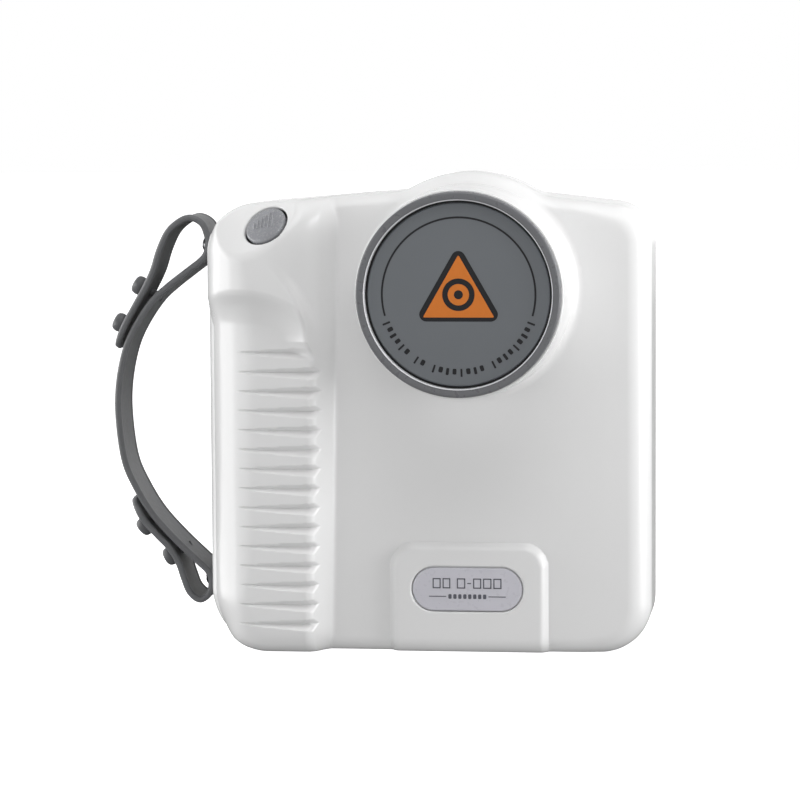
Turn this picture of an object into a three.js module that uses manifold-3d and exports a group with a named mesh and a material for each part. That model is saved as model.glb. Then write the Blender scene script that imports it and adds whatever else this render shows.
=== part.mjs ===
// Hand-held dental X-ray unit: a camera-shaped case with a cone in front, a ribbed grip, an exposure
// button on a sloped facet and a hand strap. Millimetres, +Z up, the cone points to -Y, and the origin
// is the middle of the flat base.
import * as THREE from "three";
import { mergeVertices } from "three/addons/utils/BufferGeometryUtils.js";
import Module from "manifold-3d";

const wasm = await Module();
wasm.setup();

// ---- driving dimensions -------------------------------------------------------------------------
const ARC_STEPS = 4;
const GAP = 0.3; // clearance between pieces that touch
const WALL = 2.4;

const CASE = { half: 72, right: 71, front: -26, back: 32, split: 4, frontRound: 5, backRound: 8 };
const DRAFT = 0.00085; // share of the half width lost per mm behind the split
const CORNER = { baseLeft: 20, baseRight: 16, topLeft: 15, topRight: 12, humpFillet: 8 };
const ROOF = {
  left: { x: -15, z: 148.1, slope: 0.0775 },
  right: { x: 31.75, z: 147.4, slope: -0.116 },
};
const HUMP = { x: 12.9, z: 117, r: 37.7 }; // the beam axis runs through the hump's centre

const GRIP = { right: -30, crest: -37.5, front: -36.5, frontWall: 5, roundX: 24, roundY: 22.2, flatY: -14 };
const RIBS = { count: 15, top: 97.4, pitch: 6.24, upper: 1.1, lower: 1.9, depth: 2.4, from: -61, to: -28 };
const HEAD = { right: -34.5, front: -42.8, cornerR: 12, roundX: 20, roundY: 25.5, flatY: -17 };
const LEDGE = { x: -59, z: 101, rx: 24.5, rz: 16 }; // ellipse that the head's lower edge follows
const PANEL = { left: -13, right: 38.3, top: 36, r: 8.3, front: -28.5, round: 2.4 };
const PLATE = { x: 12.3, z: 20.9, width: 35.3, height: 13.9, thick: 1, recess: 1.2 };

const CONE = { base: 34, mouth: 32.7, bore: 28 };
const RING = { bore: 29.35, r: 32.2, front: -58, back: -54.7 };
const SPIGOT = { r: 29.8, back: -23.9 };
const TANK = { r: 33, wall: 1.6, front: -21, back: 19.4, window: 12 };
const BRACKET = { front: -6, back: 0, earX: 42, earR: 5, screwR: 1.5 };

const BUTTON = {
  at: new THREE.Vector3(-50.9, -36, 138),
  axis: new THREE.Vector3(-0.33, -0.69, 0.64).normalize(),
  r: 7,
  hole: 7.3,
  travel: 1.2,
};

const STRAP = { front: -16, back: 4, thick: 2.1, steps: 64 };
STRAP.middle = (STRAP.front + STRAP.back) / 2;
const STRAP_SCREWS = { top: 130.8, bottom: 20.8, headR: 2.2, shaftR: 1.5, insertR: 3, bossR: 5.5 };
// The band's centre line, from the upper tail round the upper loop, down the run, round the lower loop.
const STRAP_LINE = [
  [-104.9, 96.8], [-101.8, 104.2], [-98, 111], [-94.6, 117], [-91.9, 122.6], [-89.6, 129.6], [-86.2, 136],
  [-80.4, 139.8], [-75.7, 138.2], [-73.8, 134], [-73.6, 130.2], [-75.2, 126.6], [-80.8, 122.2],
  [-87.2, 117.3], [-92.4, 112.5], [-97.8, 104.6], [-101.4, 96.6], [-103.7, 85.5], [-104, 74.5],
  [-102.2, 60.5], [-98.4, 51.4], [-93, 42.6], [-85.8, 34.6], [-78.2, 27.4], [-74.7, 24], [-73.6, 20.6],
  [-74.4, 16.6], [-77.6, 14.5], [-80.9, 17], [-82.8, 21.6], [-84.6, 26.8], [-87.7, 31.8], [-91.6, 35.8],
  [-96.2, 41], [-100.1, 48],
];
// Where each stud crosses the folded tail, its outward direction in the X-Z plane, and how far behind the
// tail's middle the run's middle lies.
const STUDS = [
  { x: -95.3, z: 115.7, out: [-0.87, 0.49], span: 5.1 },
  { x: -101.9, z: 103.7, out: [-0.9, 0.43], span: 3.4 },
  { x: -94.9, z: 39.7, out: [-0.76, -0.65], span: 3.2 },
  { x: -86, z: 29.4, out: [-0.87, -0.49], span: 4.6 },
];
const STUD = { neckR: 1.2, headR: 3.2, headTop: 4.4, foot: 0.5 }; // cap from the tail, foot from the run

const CASE_SCREWS = [
  { x: -57, z: 132, wall: 1 }, // wall: 1 when the post's web runs up to the roof, -1 when down to the base
  { x: 59, z: 130, wall: 1 },
  { x: -56, z: 12, wall: -1 },
  { x: 57, z: 11, wall: -1 },
];
const POST = { frontR: 3.6, backR: 4.6, holeR: 1.75, front: -18, web: 12 };
const SCREW = { headR: 2.75, shaftR: 1.45, headY: 10, length: 14 };

const DISPLAY = { x: 12, z: 107, width: 56, height: 40, viewWidth: 48, viewHeight: 32 };
const KEYPAD = { x: 12, z: 61, boardBack: 25.6, travel: 0.8 };
const KEYS = [
  { name: "key_confirm", dx: 0, dz: 0, r: 6 },
  { name: "key_up", dx: 0, dz: 15, r: 5.2 },
  { name: "key_down", dx: 0, dz: -15, r: 5.2 },
  { name: "key_left", dx: -17, dz: 0, r: 5.2 },
  { name: "key_right", dx: 17, dz: 0, r: 5.2 },
  { name: "key_power", dx: 38, dz: 0, r: 5.2 },
];
const CHARGE = { x: 42, z: 20, holeR: 4.2, width: 17, height: 13, thick: 1.2 };
const CELL = { r: 9.2, length: 65, base: 29.3, x: [-58.3, -39.3], y: [-12.6, 6.6] };

// ---- materials ----------------------------------------------------------------------------------
const paint = (color, roughness, metalness = 0) =>
  new THREE.MeshStandardMaterial({ color, roughness, metalness });
const MATERIAL = {
  white: paint(0xe9eaee, 0.22),
  grey: paint(0x8f9094, 0.4),
  slate: paint(0x6a6e72, 0.45),
  lilac: paint(0xbdbcc4, 0.4),
  silicone: paint(0x5c5d5f, 0.65),
  dark: paint(0x26272b, 0.5),
  chrome: paint(0xd8d8dc, 0.12, 1),
  steel: paint(0x9a9da1, 0.35, 1),
  brass: paint(0xb08d4a, 0.35, 1),
  aluminium: paint(0xb9bcc0, 0.4, 1),
  lead: paint(0x6d7076, 0.6, 1),
  copper: paint(0xb5673a, 0.35, 1),
  glass: paint(0xdfe8ea, 0.05),
  board: paint(0x1f5b3a, 0.5),
  cell: paint(0x2f6fa8, 0.4),
};

// ---- shaping helpers ----------------------------------------------------------------------------
const unit = new THREE.Group();
const AROUND_Y = new THREE.Vector3(0, 1, 0);

// A closed geometry as a manifold solid, with the zero-area faces at a lathe's poles left out.
function solid(geometry) {
  const bare = geometry.index ? geometry.toNonIndexed() : geometry.clone();
  bare.deleteAttribute("normal");
  bare.deleteAttribute("uv");
  const merged = mergeVertices(bare, 1e-4);
  const faces = [];
  for (let i = 0; i < merged.index.count; i += 3) {
    const [a, b, c] = [0, 1, 2].map((k) => merged.index.array[i + k]);
    if (a !== b && b !== c && c !== a) faces.push(a, b, c);
  }
  const mesh = new wasm.Mesh({
    numProp: 3,
    vertProperties: merged.attributes.position.array,
    triVerts: new Uint32Array(faces),
  });
  return new wasm.Manifold(mesh);
}

function geometryOf(body) {
  const mesh = body.getMesh();
  const vertices = new Float32Array(mesh.numVert * 3);
  for (let i = 0; i < mesh.numVert; i++) {
    const start = i * mesh.numProp;
    vertices.set(mesh.vertProperties.subarray(start, start + 3), i * 3);
  }
  const geometry = new THREE.BufferGeometry();
  geometry.setAttribute("position", new THREE.BufferAttribute(vertices, 3));
  geometry.setIndex(new THREE.BufferAttribute(mesh.triVerts, 1));
  geometry.computeVertexNormals();
  return geometry;
}

const join = (...bodies) => bodies.reduce((sum, body) => sum.add(body));
const cut = (body, ...tools) => tools.reduce((rest, tool) => rest.subtract(tool), body);

// Names a solid, puts it in the unit and returns its mesh.
function piece(name, body, material) {
  const mesh = new THREE.Mesh(geometryOf(body), material);
  mesh.name = name;
  unit.add(mesh);
  return mesh;
}

function extrude(shape, length, round = 0, steps = 2) {
  const geometry = new THREE.ExtrudeGeometry(shape, {
    depth: length - 2 * round,
    bevelEnabled: round > 0,
    bevelThickness: round,
    bevelSize: round,
    bevelOffset: -round,
    bevelSegments: steps,
    curveSegments: ARC_STEPS,
  });
  return geometry.translate(0, 0, round);
}

// An outline in the X-Z plane extruded along Y, with rounded ends if asked.
const alongY = (shape, front, back, round, steps) =>
  solid(extrude(shape, back - front, round, steps).rotateX(Math.PI / 2).translate(0, back, 0));

// An outline in the X-Y plane extruded along Z.
const alongZ = (shape, low, high) => solid(extrude(shape, high - low).translate(0, 0, low));

// An outline in the Y-Z plane extruded along X.
const alongX = (shape, left, right) =>
  solid(extrude(shape, right - left).rotateX(Math.PI / 2).rotateZ(Math.PI / 2).translate(left, 0, 0));

// A profile of [radius, y] points, anticlockwise, turned about Y.
function turned(profile, around = 24) {
  const points = profile.map(([r, y]) => new THREE.Vector2(r, y));
  points.push(points[0].clone());
  return solid(new THREE.LatheGeometry(points, around));
}

const rod = (r, low, high, around = 24) => turned([[0, low], [r, low], [r, high], [0, high]], around);
const tube = (inner, outer, low, high, around = 24) =>
  turned([[inner, low], [outer, low], [outer, high], [inner, high]], around);

function box(width, depth, height, x, y, z) {
  return solid(new THREE.BoxGeometry(width, depth, height).translate(x, y, z));
}

function roundedRect(width, height, r, x = 0, y = 0) {
  const shape = new THREE.Shape();
  const [left, right, low, high] = [x - width / 2, x + width / 2, y - height / 2, y + height / 2];
  shape.moveTo(left + r, low);
  shape.absarc(right - r, low + r, r, -Math.PI / 2, 0);
  shape.absarc(right - r, high - r, r, 0, Math.PI / 2);
  shape.absarc(left + r, high - r, r, Math.PI / 2, Math.PI);
  shape.absarc(left + r, low + r, r, Math.PI, 1.5 * Math.PI);
  return shape;
}

const moved = (body, x, y, z) => body.translate([x, y, z]);

// Turns a solid made about Y so that its +Y points along the given direction, and moves it.
function aimed(body, direction, at) {
  const turn = new THREE.Quaternion().setFromUnitVectors(AROUND_Y, direction);
  const matrix = new THREE.Matrix4().compose(at, turn, new THREE.Vector3(1, 1, 1));
  return body.transform(matrix.elements);
}

const LEFT = new THREE.Vector3(-1, 0, 0);
const UP = new THREE.Vector3(0, 0, 1);

// ---- outlines -----------------------------------------------------------------------------------
// One sloped half of the roof, moved inwards by the inset.
function roofLine(side, inset) {
  const stretch = Math.hypot(1, side.slope);
  const height = side.z - side.slope * side.x - inset * stretch;
  const angle = Math.atan2(1, -side.slope);
  return { slope: side.slope, height, stretch, angle };
}

// The round corner between a vertical side and the roof.
function roofCorner(line, x, r) {
  const z = line.height + line.slope * x - r * line.stretch;
  return { x, z, r };
}

// The hollow fillet between the roof and the hump: which is -1 on the left and 1 on the right.
function humpFillet(line, humpR, r, which) {
  const rise = line.height + r * line.stretch - HUMP.z;
  const a = line.stretch ** 2;
  const b = line.slope * rise - HUMP.x;
  const c = HUMP.x ** 2 + rise ** 2 - (humpR + r) ** 2;
  const x = (-b + which * Math.sqrt(b * b - a * c)) / a;
  const z = line.slope * x + rise + HUMP.z;
  const toHump = Math.atan2(HUMP.z - z, HUMP.x - x);
  return { x, z, r, toHump, toRoof: line.angle - Math.PI };
}

// The case seen from the front: round corners, a roof in two slopes and the hump over the cone.
function caseOutline(inset = 0) {
  const [leftSide, rightSide] = [CASE.half - inset, CASE.right - inset];
  const [leftR, rightR] = [CORNER.baseLeft - inset, CORNER.baseRight - inset];
  const [left, right] = [roofLine(ROOF.left, inset), roofLine(ROOF.right, inset)];
  const topRight = roofCorner(right, CASE.right - CORNER.topRight, CORNER.topRight - inset);
  const topLeft = roofCorner(left, -CASE.half + CORNER.topLeft, CORNER.topLeft - inset);
  const humpR = HUMP.r - inset;
  const rightFillet = humpFillet(right, humpR, CORNER.humpFillet + inset, 1);
  const leftFillet = humpFillet(left, humpR, CORNER.humpFillet + inset, -1);
  const shape = new THREE.Shape();
  shape.moveTo(-leftSide + leftR, inset);
  shape.absarc(rightSide - rightR, inset + rightR, rightR, -Math.PI / 2, 0);
  shape.absarc(topRight.x, topRight.z, topRight.r, 0, right.angle);
  shape.absarc(rightFillet.x, rightFillet.z, rightFillet.r, rightFillet.toRoof, rightFillet.toHump, true);
  shape.absarc(HUMP.x, HUMP.z, humpR, rightFillet.toHump + Math.PI, leftFillet.toHump + Math.PI);
  shape.absarc(leftFillet.x, leftFillet.z, leftFillet.r, leftFillet.toHump, leftFillet.toRoof, true);
  shape.absarc(topLeft.x, topLeft.z, topLeft.r, left.angle, Math.PI);
  shape.absarc(-leftSide + leftR, inset + leftR, leftR, Math.PI, 1.5 * Math.PI);
  return shape;
}

// The grip from above: round front-left corner, nearly flat finger face, sloped flank on the right.
function gripSection(inset = 0, frontInset = 0) {
  const shape = new THREE.Shape();
  const centreX = -CASE.half + GRIP.roundX;
  shape.moveTo(-CASE.half + inset, 0);
  const [rx, ry] = [GRIP.roundX - inset, GRIP.roundY - frontInset];
  shape.absellipse(centreX, GRIP.flatY, rx, ry, Math.PI, 1.5 * Math.PI);
  shape.lineTo(GRIP.crest - inset, GRIP.front + frontInset);
  shape.lineTo(GRIP.crest + 1.6 - inset, GRIP.front + 1.2 + frontInset);
  shape.lineTo(GRIP.right - inset, CASE.front + frontInset);
  shape.lineTo(GRIP.right - inset, 0);
  return shape;
}

// The button head from above.
function headSection(inset = 0) {
  const shape = new THREE.Shape();
  const centreX = -CASE.half + HEAD.roundX;
  const corner = HEAD.right - HEAD.cornerR;
  shape.moveTo(-CASE.half + inset, 0);
  shape.absellipse(centreX, HEAD.flatY, HEAD.roundX - inset, HEAD.roundY - inset, Math.PI, 1.5 * Math.PI);
  shape.absarc(corner, HEAD.front + HEAD.cornerR, HEAD.cornerR - inset, 1.5 * Math.PI, 2 * Math.PI);
  shape.lineTo(HEAD.right - inset, 0);
  return shape;
}

// The button head from the front: everything above the ledge that the fingers rest under.
function headFront(inset = 0) {
  const shape = new THREE.Shape();
  const [rx, rz] = [LEDGE.rx + inset, LEDGE.rz + inset];
  const start = Math.acos((-CASE.half - 1 - LEDGE.x) / rx);
  shape.moveTo(-CASE.half - 1, 160);
  shape.absellipse(LEDGE.x, LEDGE.z, rx, rz, start, 0, true);
  shape.lineTo(LEDGE.x + rx, 160);
  return shape;
}

// ---- case ---------------------------------------------------------------------------------------
// Everything outside the sloped facet that carries the button.
function beyondFacet(depth) {
  const block = solid(new THREE.BoxGeometry(200, 80, 200).translate(0, 40 - depth, 0));
  return aimed(block, BUTTON.axis, BUTTON.at);
}

function gripBlock(inset, frontInset) {
  const low = inset;
  const block = alongZ(gripSection(inset, frontInset), low, 150);
  const round = CASE.frontRound;
  const side = roundedRect(60, 200, round, GRIP.front + frontInset + 30, low + 100);
  return block.intersect(alongX(side, -80, 0)).intersect(alongY(caseOutline(inset), -60, 10));
}

function headBlock(inset) {
  const block = alongZ(headSection(inset), 90, 150);
  return block.intersect(alongY(headFront(inset), -60, 10)).intersect(alongY(caseOutline(inset), -60, 10));
}

function caseBlock(inset, round) {
  return alongY(caseOutline(inset), CASE.front + inset, CASE.back - inset, round, 2);
}

// Rib grooves: wedges that start at nothing on the left and run out through the flank.
function ribGrooves() {
  const groove = new THREE.Shape();
  groove.moveTo(0, 0);
  groove.lineTo(-6, RIBS.upper * (6 / RIBS.depth));
  groove.lineTo(-6, -RIBS.lower * (6 / RIBS.depth));
  const length = RIBS.to - RIBS.from;
  const slant = Math.atan2(-1.1, length);
  return Array.from({ length: RIBS.count }, (_, i) => {
    const wedge = alongX(groove, 0, length).rotate([0, 0, THREE.MathUtils.radToDeg(slant)]);
    return moved(wedge, RIBS.from, -33.1, RIBS.top - i * RIBS.pitch);
  });
}

// Screw posts, each tied to the roof or the base by a thin web.
function frontPosts() {
  const back = CASE.split - GAP / 2;
  const [depth, middle] = [back - POST.front, (back + POST.front) / 2];
  return CASE_SCREWS.map(({ x, z, wall }) => {
    const web = box(WALL, depth, POST.web, x, middle, z + (wall * POST.web) / 2);
    const post = moved(rod(POST.frontR, POST.front, back, 12), x, 0, z);
    return join(web.intersect(alongY(caseOutline(1), -60, 60)), post);
  });
}

const postHoles = (r, low, high) => CASE_SCREWS.map(({ x, z }) => moved(rod(r, low, high, 12), x, 0, z));

function strapScrewHeights() {
  return [STRAP_SCREWS.top, STRAP_SCREWS.bottom];
}

// A solid about the X axis, pointing out of the left side, at a strap screw's height.
const onLeftSide = (body, z) => aimed(body, LEFT, new THREE.Vector3(-CASE.half, STRAP.middle, z));

function panelShape() {
  const width = PANEL.right - PANEL.left;
  return roundedRect(width, PANEL.top + 20, PANEL.r, PANEL.left + width / 2, PANEL.top / 2 - 10);
}

function frontShell() {
  const face = box(300, 100, 300, 0, CASE.split - GAP / 2 - 50, 80);
  const panel = alongY(panelShape(), PANEL.front, CASE.front + 6, PANEL.round).intersect(
    alongY(caseOutline(), -60, 10),
  );
  const outside = join(caseBlock(0, CASE.frontRound), gripBlock(0, 0), headBlock(0), panel);
  const hollow = join(caseBlock(WALL, 3), gripBlock(WALL, GRIP.frontWall), headBlock(WALL));
  const bosses = strapScrewHeights().map((z) => onLeftSide(rod(STRAP_SCREWS.bossR, -10, -1), z));
  const bracketBosses = [-1, 1].map((side) =>
    moved(rod(4, CASE.front + 1, BRACKET.front - GAP, 12), HUMP.x + side * BRACKET.earX, 0, HUMP.z),
  );
  const bracketHoles = bracketBosses.map((_, i) =>
    moved(rod(1.8, -20, BRACKET.front + 1, 10), HUMP.x + (i ? 1 : -1) * BRACKET.earX, 0, HUMP.z),
  );
  const walls = cut(outside, hollow.subtract(beyondFacet(WALL)));
  const shell = join(walls, ...bosses, ...frontPosts(), ...bracketBosses);
  const [recessWidth, recessHeight] = [PLATE.width + 2 * GAP, PLATE.height + 2 * GAP];
  const recess = roundedRect(recessWidth, recessHeight, recessHeight / 2 - 0.01, PLATE.x, PLATE.z);
  return cut(
    shell.intersect(face),
    beyondFacet(0),
    ...ribGrooves(),
    ...bracketHoles,
    ...postHoles(POST.holeR, -16, 10),
    ...strapScrewHeights().map((z) => onLeftSide(rod(STRAP_SCREWS.insertR + GAP, -12, 1, 14), z)),
    alongY(recess, PANEL.front - 1, PANEL.front + PLATE.recess),
    moved(rod(SPIGOT.r + GAP, CASE.front - 4, CASE.front + WALL + 1, 48), HUMP.x, 0, HUMP.z),
    aimed(rod(BUTTON.hole, -5, 3, 24), BUTTON.axis, BUTTON.at),
    aimed(rod(BUTTON.r + 2, -6, -WALL - 0.2, 24), BUTTON.axis, BUTTON.at),
  );
}

// The sides draw in a little towards the back.
function drafted(body) {
  return body.warp((v) => {
    v[0] /= 1 + DRAFT * Math.max(v[1] - CASE.split, 0);
  });
}

function rearShell() {
  const face = box(300, 100, 300, 0, CASE.split + GAP / 2 + 50, 80);
  const shell = cut(caseBlock(0, CASE.backRound), caseBlock(WALL, CASE.backRound - WALL)).intersect(face);
  const posts = CASE_SCREWS.map(({ x, z }) =>
    moved(rod(POST.backR, CASE.split + GAP / 2, CASE.back - 1, 14), x, 0, z),
  );
  const { x: viewX, z: viewZ, width, height, viewWidth, viewHeight } = DISPLAY;
  const lensSeat = roundedRect(width + 2 * GAP, height + 2 * GAP, 3.3, viewX, viewZ);
  const wallFront = CASE.back - WALL - 2;
  const keyDish = roundedRect(74, 50, 10, KEYPAD.x + 10, KEYPAD.z);
  const chargeDish = roundedRect(CHARGE.width + 0.8, CHARGE.height + 0.8, 2, CHARGE.x, CHARGE.z);
  return cut(
    join(drafted(shell), ...posts),
    ...postHoles(POST.holeR, 0, CASE.back + 1),
    ...postHoles(SCREW.headR + 0.35, SCREW.headY, CASE.back + 1),
    alongY(lensSeat, CASE.back - 1.5, CASE.back + 1),
    alongY(roundedRect(viewWidth, viewHeight, 2, viewX, viewZ), wallFront, CASE.back),
    alongY(keyDish, CASE.back - 0.8, CASE.back + 1),
    ...KEYS.map((key) =>
      moved(rod(key.r + 0.35, wallFront, CASE.back + 1, 16), KEYPAD.x + key.dx, 0, KEYPAD.z + key.dz),
    ),
    alongY(chargeDish, CASE.back - CHARGE.thick - GAP, CASE.back + 1),
    moved(rod(CHARGE.holeR, wallFront, CASE.back), CHARGE.x, 0, CHARGE.z),
  );
}

function caseScrew() {
  const { headR, shaftR, headY, length } = SCREW;
  const [low, high] = [headY - length, headY + GAP];
  return turned([[0, low], [shaftR, low + 1], [shaftR, high], [headR, high], [headR, high + 1.6],
    [headR - 0.6, high + 2.2], [1.4, high + 2.2], [1.4, high + 1], [0, high + 1]], 10);
}

// ---- cone and window ----------------------------------------------------------------------------
function coneTube() {
  const mouth = RING.back + GAP;
  return turned([[CONE.bore, mouth + 1.5], [RING.bore, mouth + 1.5], [RING.bore, mouth],
    [CONE.mouth - 0.5, mouth], [CONE.mouth, mouth + 0.5], [CONE.mouth + 0.5, mouth + 14],
    [CONE.base, CASE.front - GAP], [SPIGOT.r, CASE.front - GAP], [SPIGOT.r, SPIGOT.back],
    [CONE.bore, SPIGOT.back]], 48);
}

function coneRing() {
  const [front, back] = [RING.front, RING.back];
  return turned([[RING.bore + 0.4, front], [RING.r - 0.8, front], [RING.r, front + 0.8],
    [RING.r, back], [RING.bore, back], [RING.bore, front + 0.4]], 48);
}

const windowDisc = () => rod(RING.bore - GAP, -55.1, -53.2, 48);
const coneLiner = () => tube(26.2, CONE.bore - GAP, -52.6, -24, 32);
const beamFilter = () => rod(14, -23.4, -22, 24);
const leadDiaphragm = () => tube(9, 25, -25.4, -23.8, 32);

// ---- X-ray head ---------------------------------------------------------------------------------
function tankCan() {
  const inner = TANK.r - TANK.wall;
  return turned([[TANK.window, TANK.front], [TANK.r, TANK.front], [TANK.r, TANK.back], [inner, TANK.back],
    [inner, TANK.front + TANK.wall], [TANK.window, TANK.front + TANK.wall]], 32);
}

function leadLiner() {
  const outer = TANK.r - TANK.wall - GAP;
  const front = TANK.front + TANK.wall + GAP;
  return turned([[TANK.window, front], [outer, front], [outer, TANK.back - 2], [outer - 1.5, TANK.back - 2],
    [outer - 1.5, front + 1.5], [TANK.window, front + 1.5]], 32);
}

const tankSeal = () => tube(TANK.r - TANK.wall, TANK.r - 0.2, TANK.back + GAP, TANK.back + 1.1, 32);

function tankLid() {
  const low = TANK.back + 1.4;
  return turned([[0, low], [TANK.r, low], [TANK.r, low + 1.6], [TANK.r - 0.6, low + 2], [0, low + 2]], 32);
}

function tankBracket() {
  const inner = TANK.r + GAP;
  const band = tube(inner, inner + 1.4, BRACKET.front, BRACKET.back, 32);
  const ears = [-1, 1].map((side) => {
    const plate = roundedRect(12, 2 * BRACKET.earR, 4.9, side * (BRACKET.earX - 1.4), 0);
    const hole = moved(rod(BRACKET.screwR + GAP, -10, 2, 16), side * BRACKET.earX, 0, 0);
    return cut(alongY(plate, BRACKET.front, BRACKET.front + 1.5), hole);
  });
  return cut(join(band, ...ears), rod(inner, -10, 4, 32));
}

const bracketScrew = () =>
  turned([[0, -16], [BRACKET.screwR, -15.4], [BRACKET.screwR, -4.2], [3, -4.2], [3, -2.8], [2.2, -2.2],
    [0, -2.2]], 16);

const tubeGlass = () => tube(9.6, 11, -19, 19, 24);
const anode = () =>
  turned([[0, -22], [6, -22], [6, -19.6], [9, -19.6], [9, -14], [5, -12], [5, -4], [0, -1]], 20);
const cathode = () =>
  turned([[0, 4], [3.4, 5], [3.4, 12], [9, 14], [9, 19.6], [3, 19.6], [3, 23], [0, 23]], 20);

function hvTransformer() {
  const core = alongY(roundedRect(34, 26, 2), 8, 15);
  const winding = tube(4, 9.5, 6.6, 16.4, 20);
  return join(cut(core, rod(4, 6, 18, 20)), winding);
}

// ---- exposure button ----------------------------------------------------------------------------
function triggerButton() {
  return turned([[0, -8], [2.6, -8], [2.6, -4.6], [8.3, -4.6], [8.3, -3.2], [BUTTON.r, -3.2], [BUTTON.r, 0.4],
    [BUTTON.r - 0.6, 1], [BUTTON.r / 2, 1.3], [0, 1.4]], 32);
}

class Coil extends THREE.Curve {
  constructor(r, low, high, turns) {
    super();
    Object.assign(this, { r, low, high, turns });
  }
  getPoint(t) {
    const angle = 2 * Math.PI * this.turns * t;
    const height = this.low + (this.high - this.low) * t;
    return new THREE.Vector3(this.r * Math.cos(angle), height, this.r * Math.sin(angle));
  }
}

function wire(curve, r, steps) {
  const section = new THREE.Shape();
  section.absarc(0, 0, r, 0, 2 * Math.PI);
  const options = { extrudePath: curve, steps, bevelEnabled: false, curveSegments: 2 };
  return solid(new THREE.ExtrudeGeometry(section, options));
}

const triggerSpring = () => wire(new Coil(4.2, -9.1, -5.4, 3.5), 0.4, 40);

function triggerSwitch() {
  const board = alongY(roundedRect(14, 14, 2), -11.4, -9.8);
  return join(board, rod(2.9, -9.9, -9.5, 16));
}

// ---- rear controls ------------------------------------------------------------------------------
function rearKey(r) {
  const [inner, outer] = [CASE.back - WALL - GAP, CASE.back - 0.1];
  return turned([[0, 27], [2, 27], [2, inner - 1.2], [r + 1, inner - 1.2], [r + 1, inner], [r, inner],
    [r, outer - 0.4], [r - 0.5, outer], [0, outer]], 14);
}

function keypadBoard() {
  return alongY(roundedRect(64, 44, 3, KEYPAD.x + 9, KEYPAD.z), KEYPAD.boardBack - 1.6, KEYPAD.boardBack);
}

function displayLens() {
  const shape = roundedRect(DISPLAY.width, DISPLAY.height, 3, DISPLAY.x, DISPLAY.z);
  return alongY(shape, CASE.back - 1.2, CASE.back - 0.1);
}

function lcdModule() {
  const shape = roundedRect(DISPLAY.width - 2, DISPLAY.height - 2, 1.5, DISPLAY.x, DISPLAY.z);
  return alongY(shape, 25.4, CASE.back - WALL - GAP);
}

function chargeSocket() {
  const body = alongY(roundedRect(12, 11, 1.5, CHARGE.x, CHARGE.z), 15, CASE.back - WALL - GAP);
  const bore = moved(rod(2.9, 19, CASE.back, 16), CHARGE.x, 0, CHARGE.z);
  return join(cut(body, bore), moved(rod(0.9, 18, 27, 12), CHARGE.x, 0, CHARGE.z));
}

function chargeFlap() {
  const back = CASE.back - 0.1;
  const outline = roundedRect(CHARGE.width, CHARGE.height, 1.6, CHARGE.x, CHARGE.z);
  const plate = alongY(outline, back - CHARGE.thick, back);
  const plug = moved(rod(3.1, back - CHARGE.thick - 1.2, back - 0.5, 20), CHARGE.x, 0, CHARGE.z);
  return join(plate, plug);
}

// ---- electronics and battery --------------------------------------------------------------------
const mainBoard = () => alongY(roundedRect(70, 58, 3, 18, 46), 12, 13.6);
const capacitor = () => turned([[0, -10], [7, -10], [7.5, -9.5], [7.5, 11.7], [0, 11.7]], 20);
const inverterCoil = () => tube(5, 13, 2, 11.7, 20);
const buzzer = () => tube(1, 6, 7, 11.7, 20);

function batteryCell() {
  const [r, top] = [CELL.r, CELL.length];
  return turned([[0, 0], [r - 0.4, 0], [r, 0.4], [r, top - 1.4], [r - 0.6, top - 0.8], [3, top - 0.8],
    [3, top], [0, top]], 16);
}

function batteryTray() {
  const [x, y] = [(CELL.x[0] + CELL.x[1]) / 2, (CELL.y[0] + CELL.y[1]) / 2];
  const tray = alongZ(roundedRect(40.2, 40.2, 8, x, y), CELL.base - 2.7, CELL.base + 2.7);
  const pockets = cellPlaces().map(([cellX, cellY]) => {
    const floor = new THREE.Vector3(cellX, cellY, CELL.base - GAP);
    return aimed(rod(CELL.r + GAP / 2, 0, 9, 24), UP, floor);
  });
  return cut(tray, ...pockets);
}

const cellPlaces = () => CELL.x.flatMap((x) => CELL.y.map((y) => [x, y]));

// ---- strap --------------------------------------------------------------------------------------
// The band is a strip of even thickness that follows the centre line, extruded across its width.
function strapBand() {
  const line = new THREE.SplineCurve(STRAP_LINE.map(([x, z]) => new THREE.Vector2(x, z)));
  const [one, other] = [[], []];
  for (let i = 0; i <= STRAP.steps; i++) {
    const at = line.getPoint(i / STRAP.steps);
    const along = line.getTangent(i / STRAP.steps);
    const across = new THREE.Vector2(-along.y, along.x).multiplyScalar(STRAP.thick / 2);
    one.push(at.clone().add(across));
    other.unshift(at.clone().sub(across));
  }
  return alongY(new THREE.Shape([...one, ...other]), STRAP.front, STRAP.back);
}

const studPlace = (stud) => new THREE.Vector3(stud.x, STRAP.middle, stud.z);
const studAim = (stud) => new THREE.Vector3(stud.out[0], 0, stud.out[1]).normalize();

function strap() {
  const studHoles = STUDS.map((stud) => {
    return aimed(rod(1.5, -stud.span - STUD.foot - 0.2, 3, 12), studAim(stud), studPlace(stud));
  });
  const screwHole = rod(STRAP_SCREWS.shaftR + 0.5, 0, 4.5, 16);
  const screwHoles = strapScrewHeights().map((z) => onLeftSide(screwHole, z));
  return cut(strapBand(), ...studHoles, ...screwHoles);
}

// A mushroom whose foot is bonded into a blind hole in the run, with its cap over the tail.
function strapStud(span) {
  const { neckR, headR, headTop, foot } = STUD;
  const face = STRAP.thick / 2;
  const [seat, top] = [face + GAP, face + headTop];
  return turned([[0, -span - foot], [neckR, -span - foot], [neckR, seat], [headR - 0.6, seat],
    [headR, seat + 1.2], [headR - 0.4, top - 0.9], [headR - 1.5, top], [0, top]], 12);
}

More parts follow.
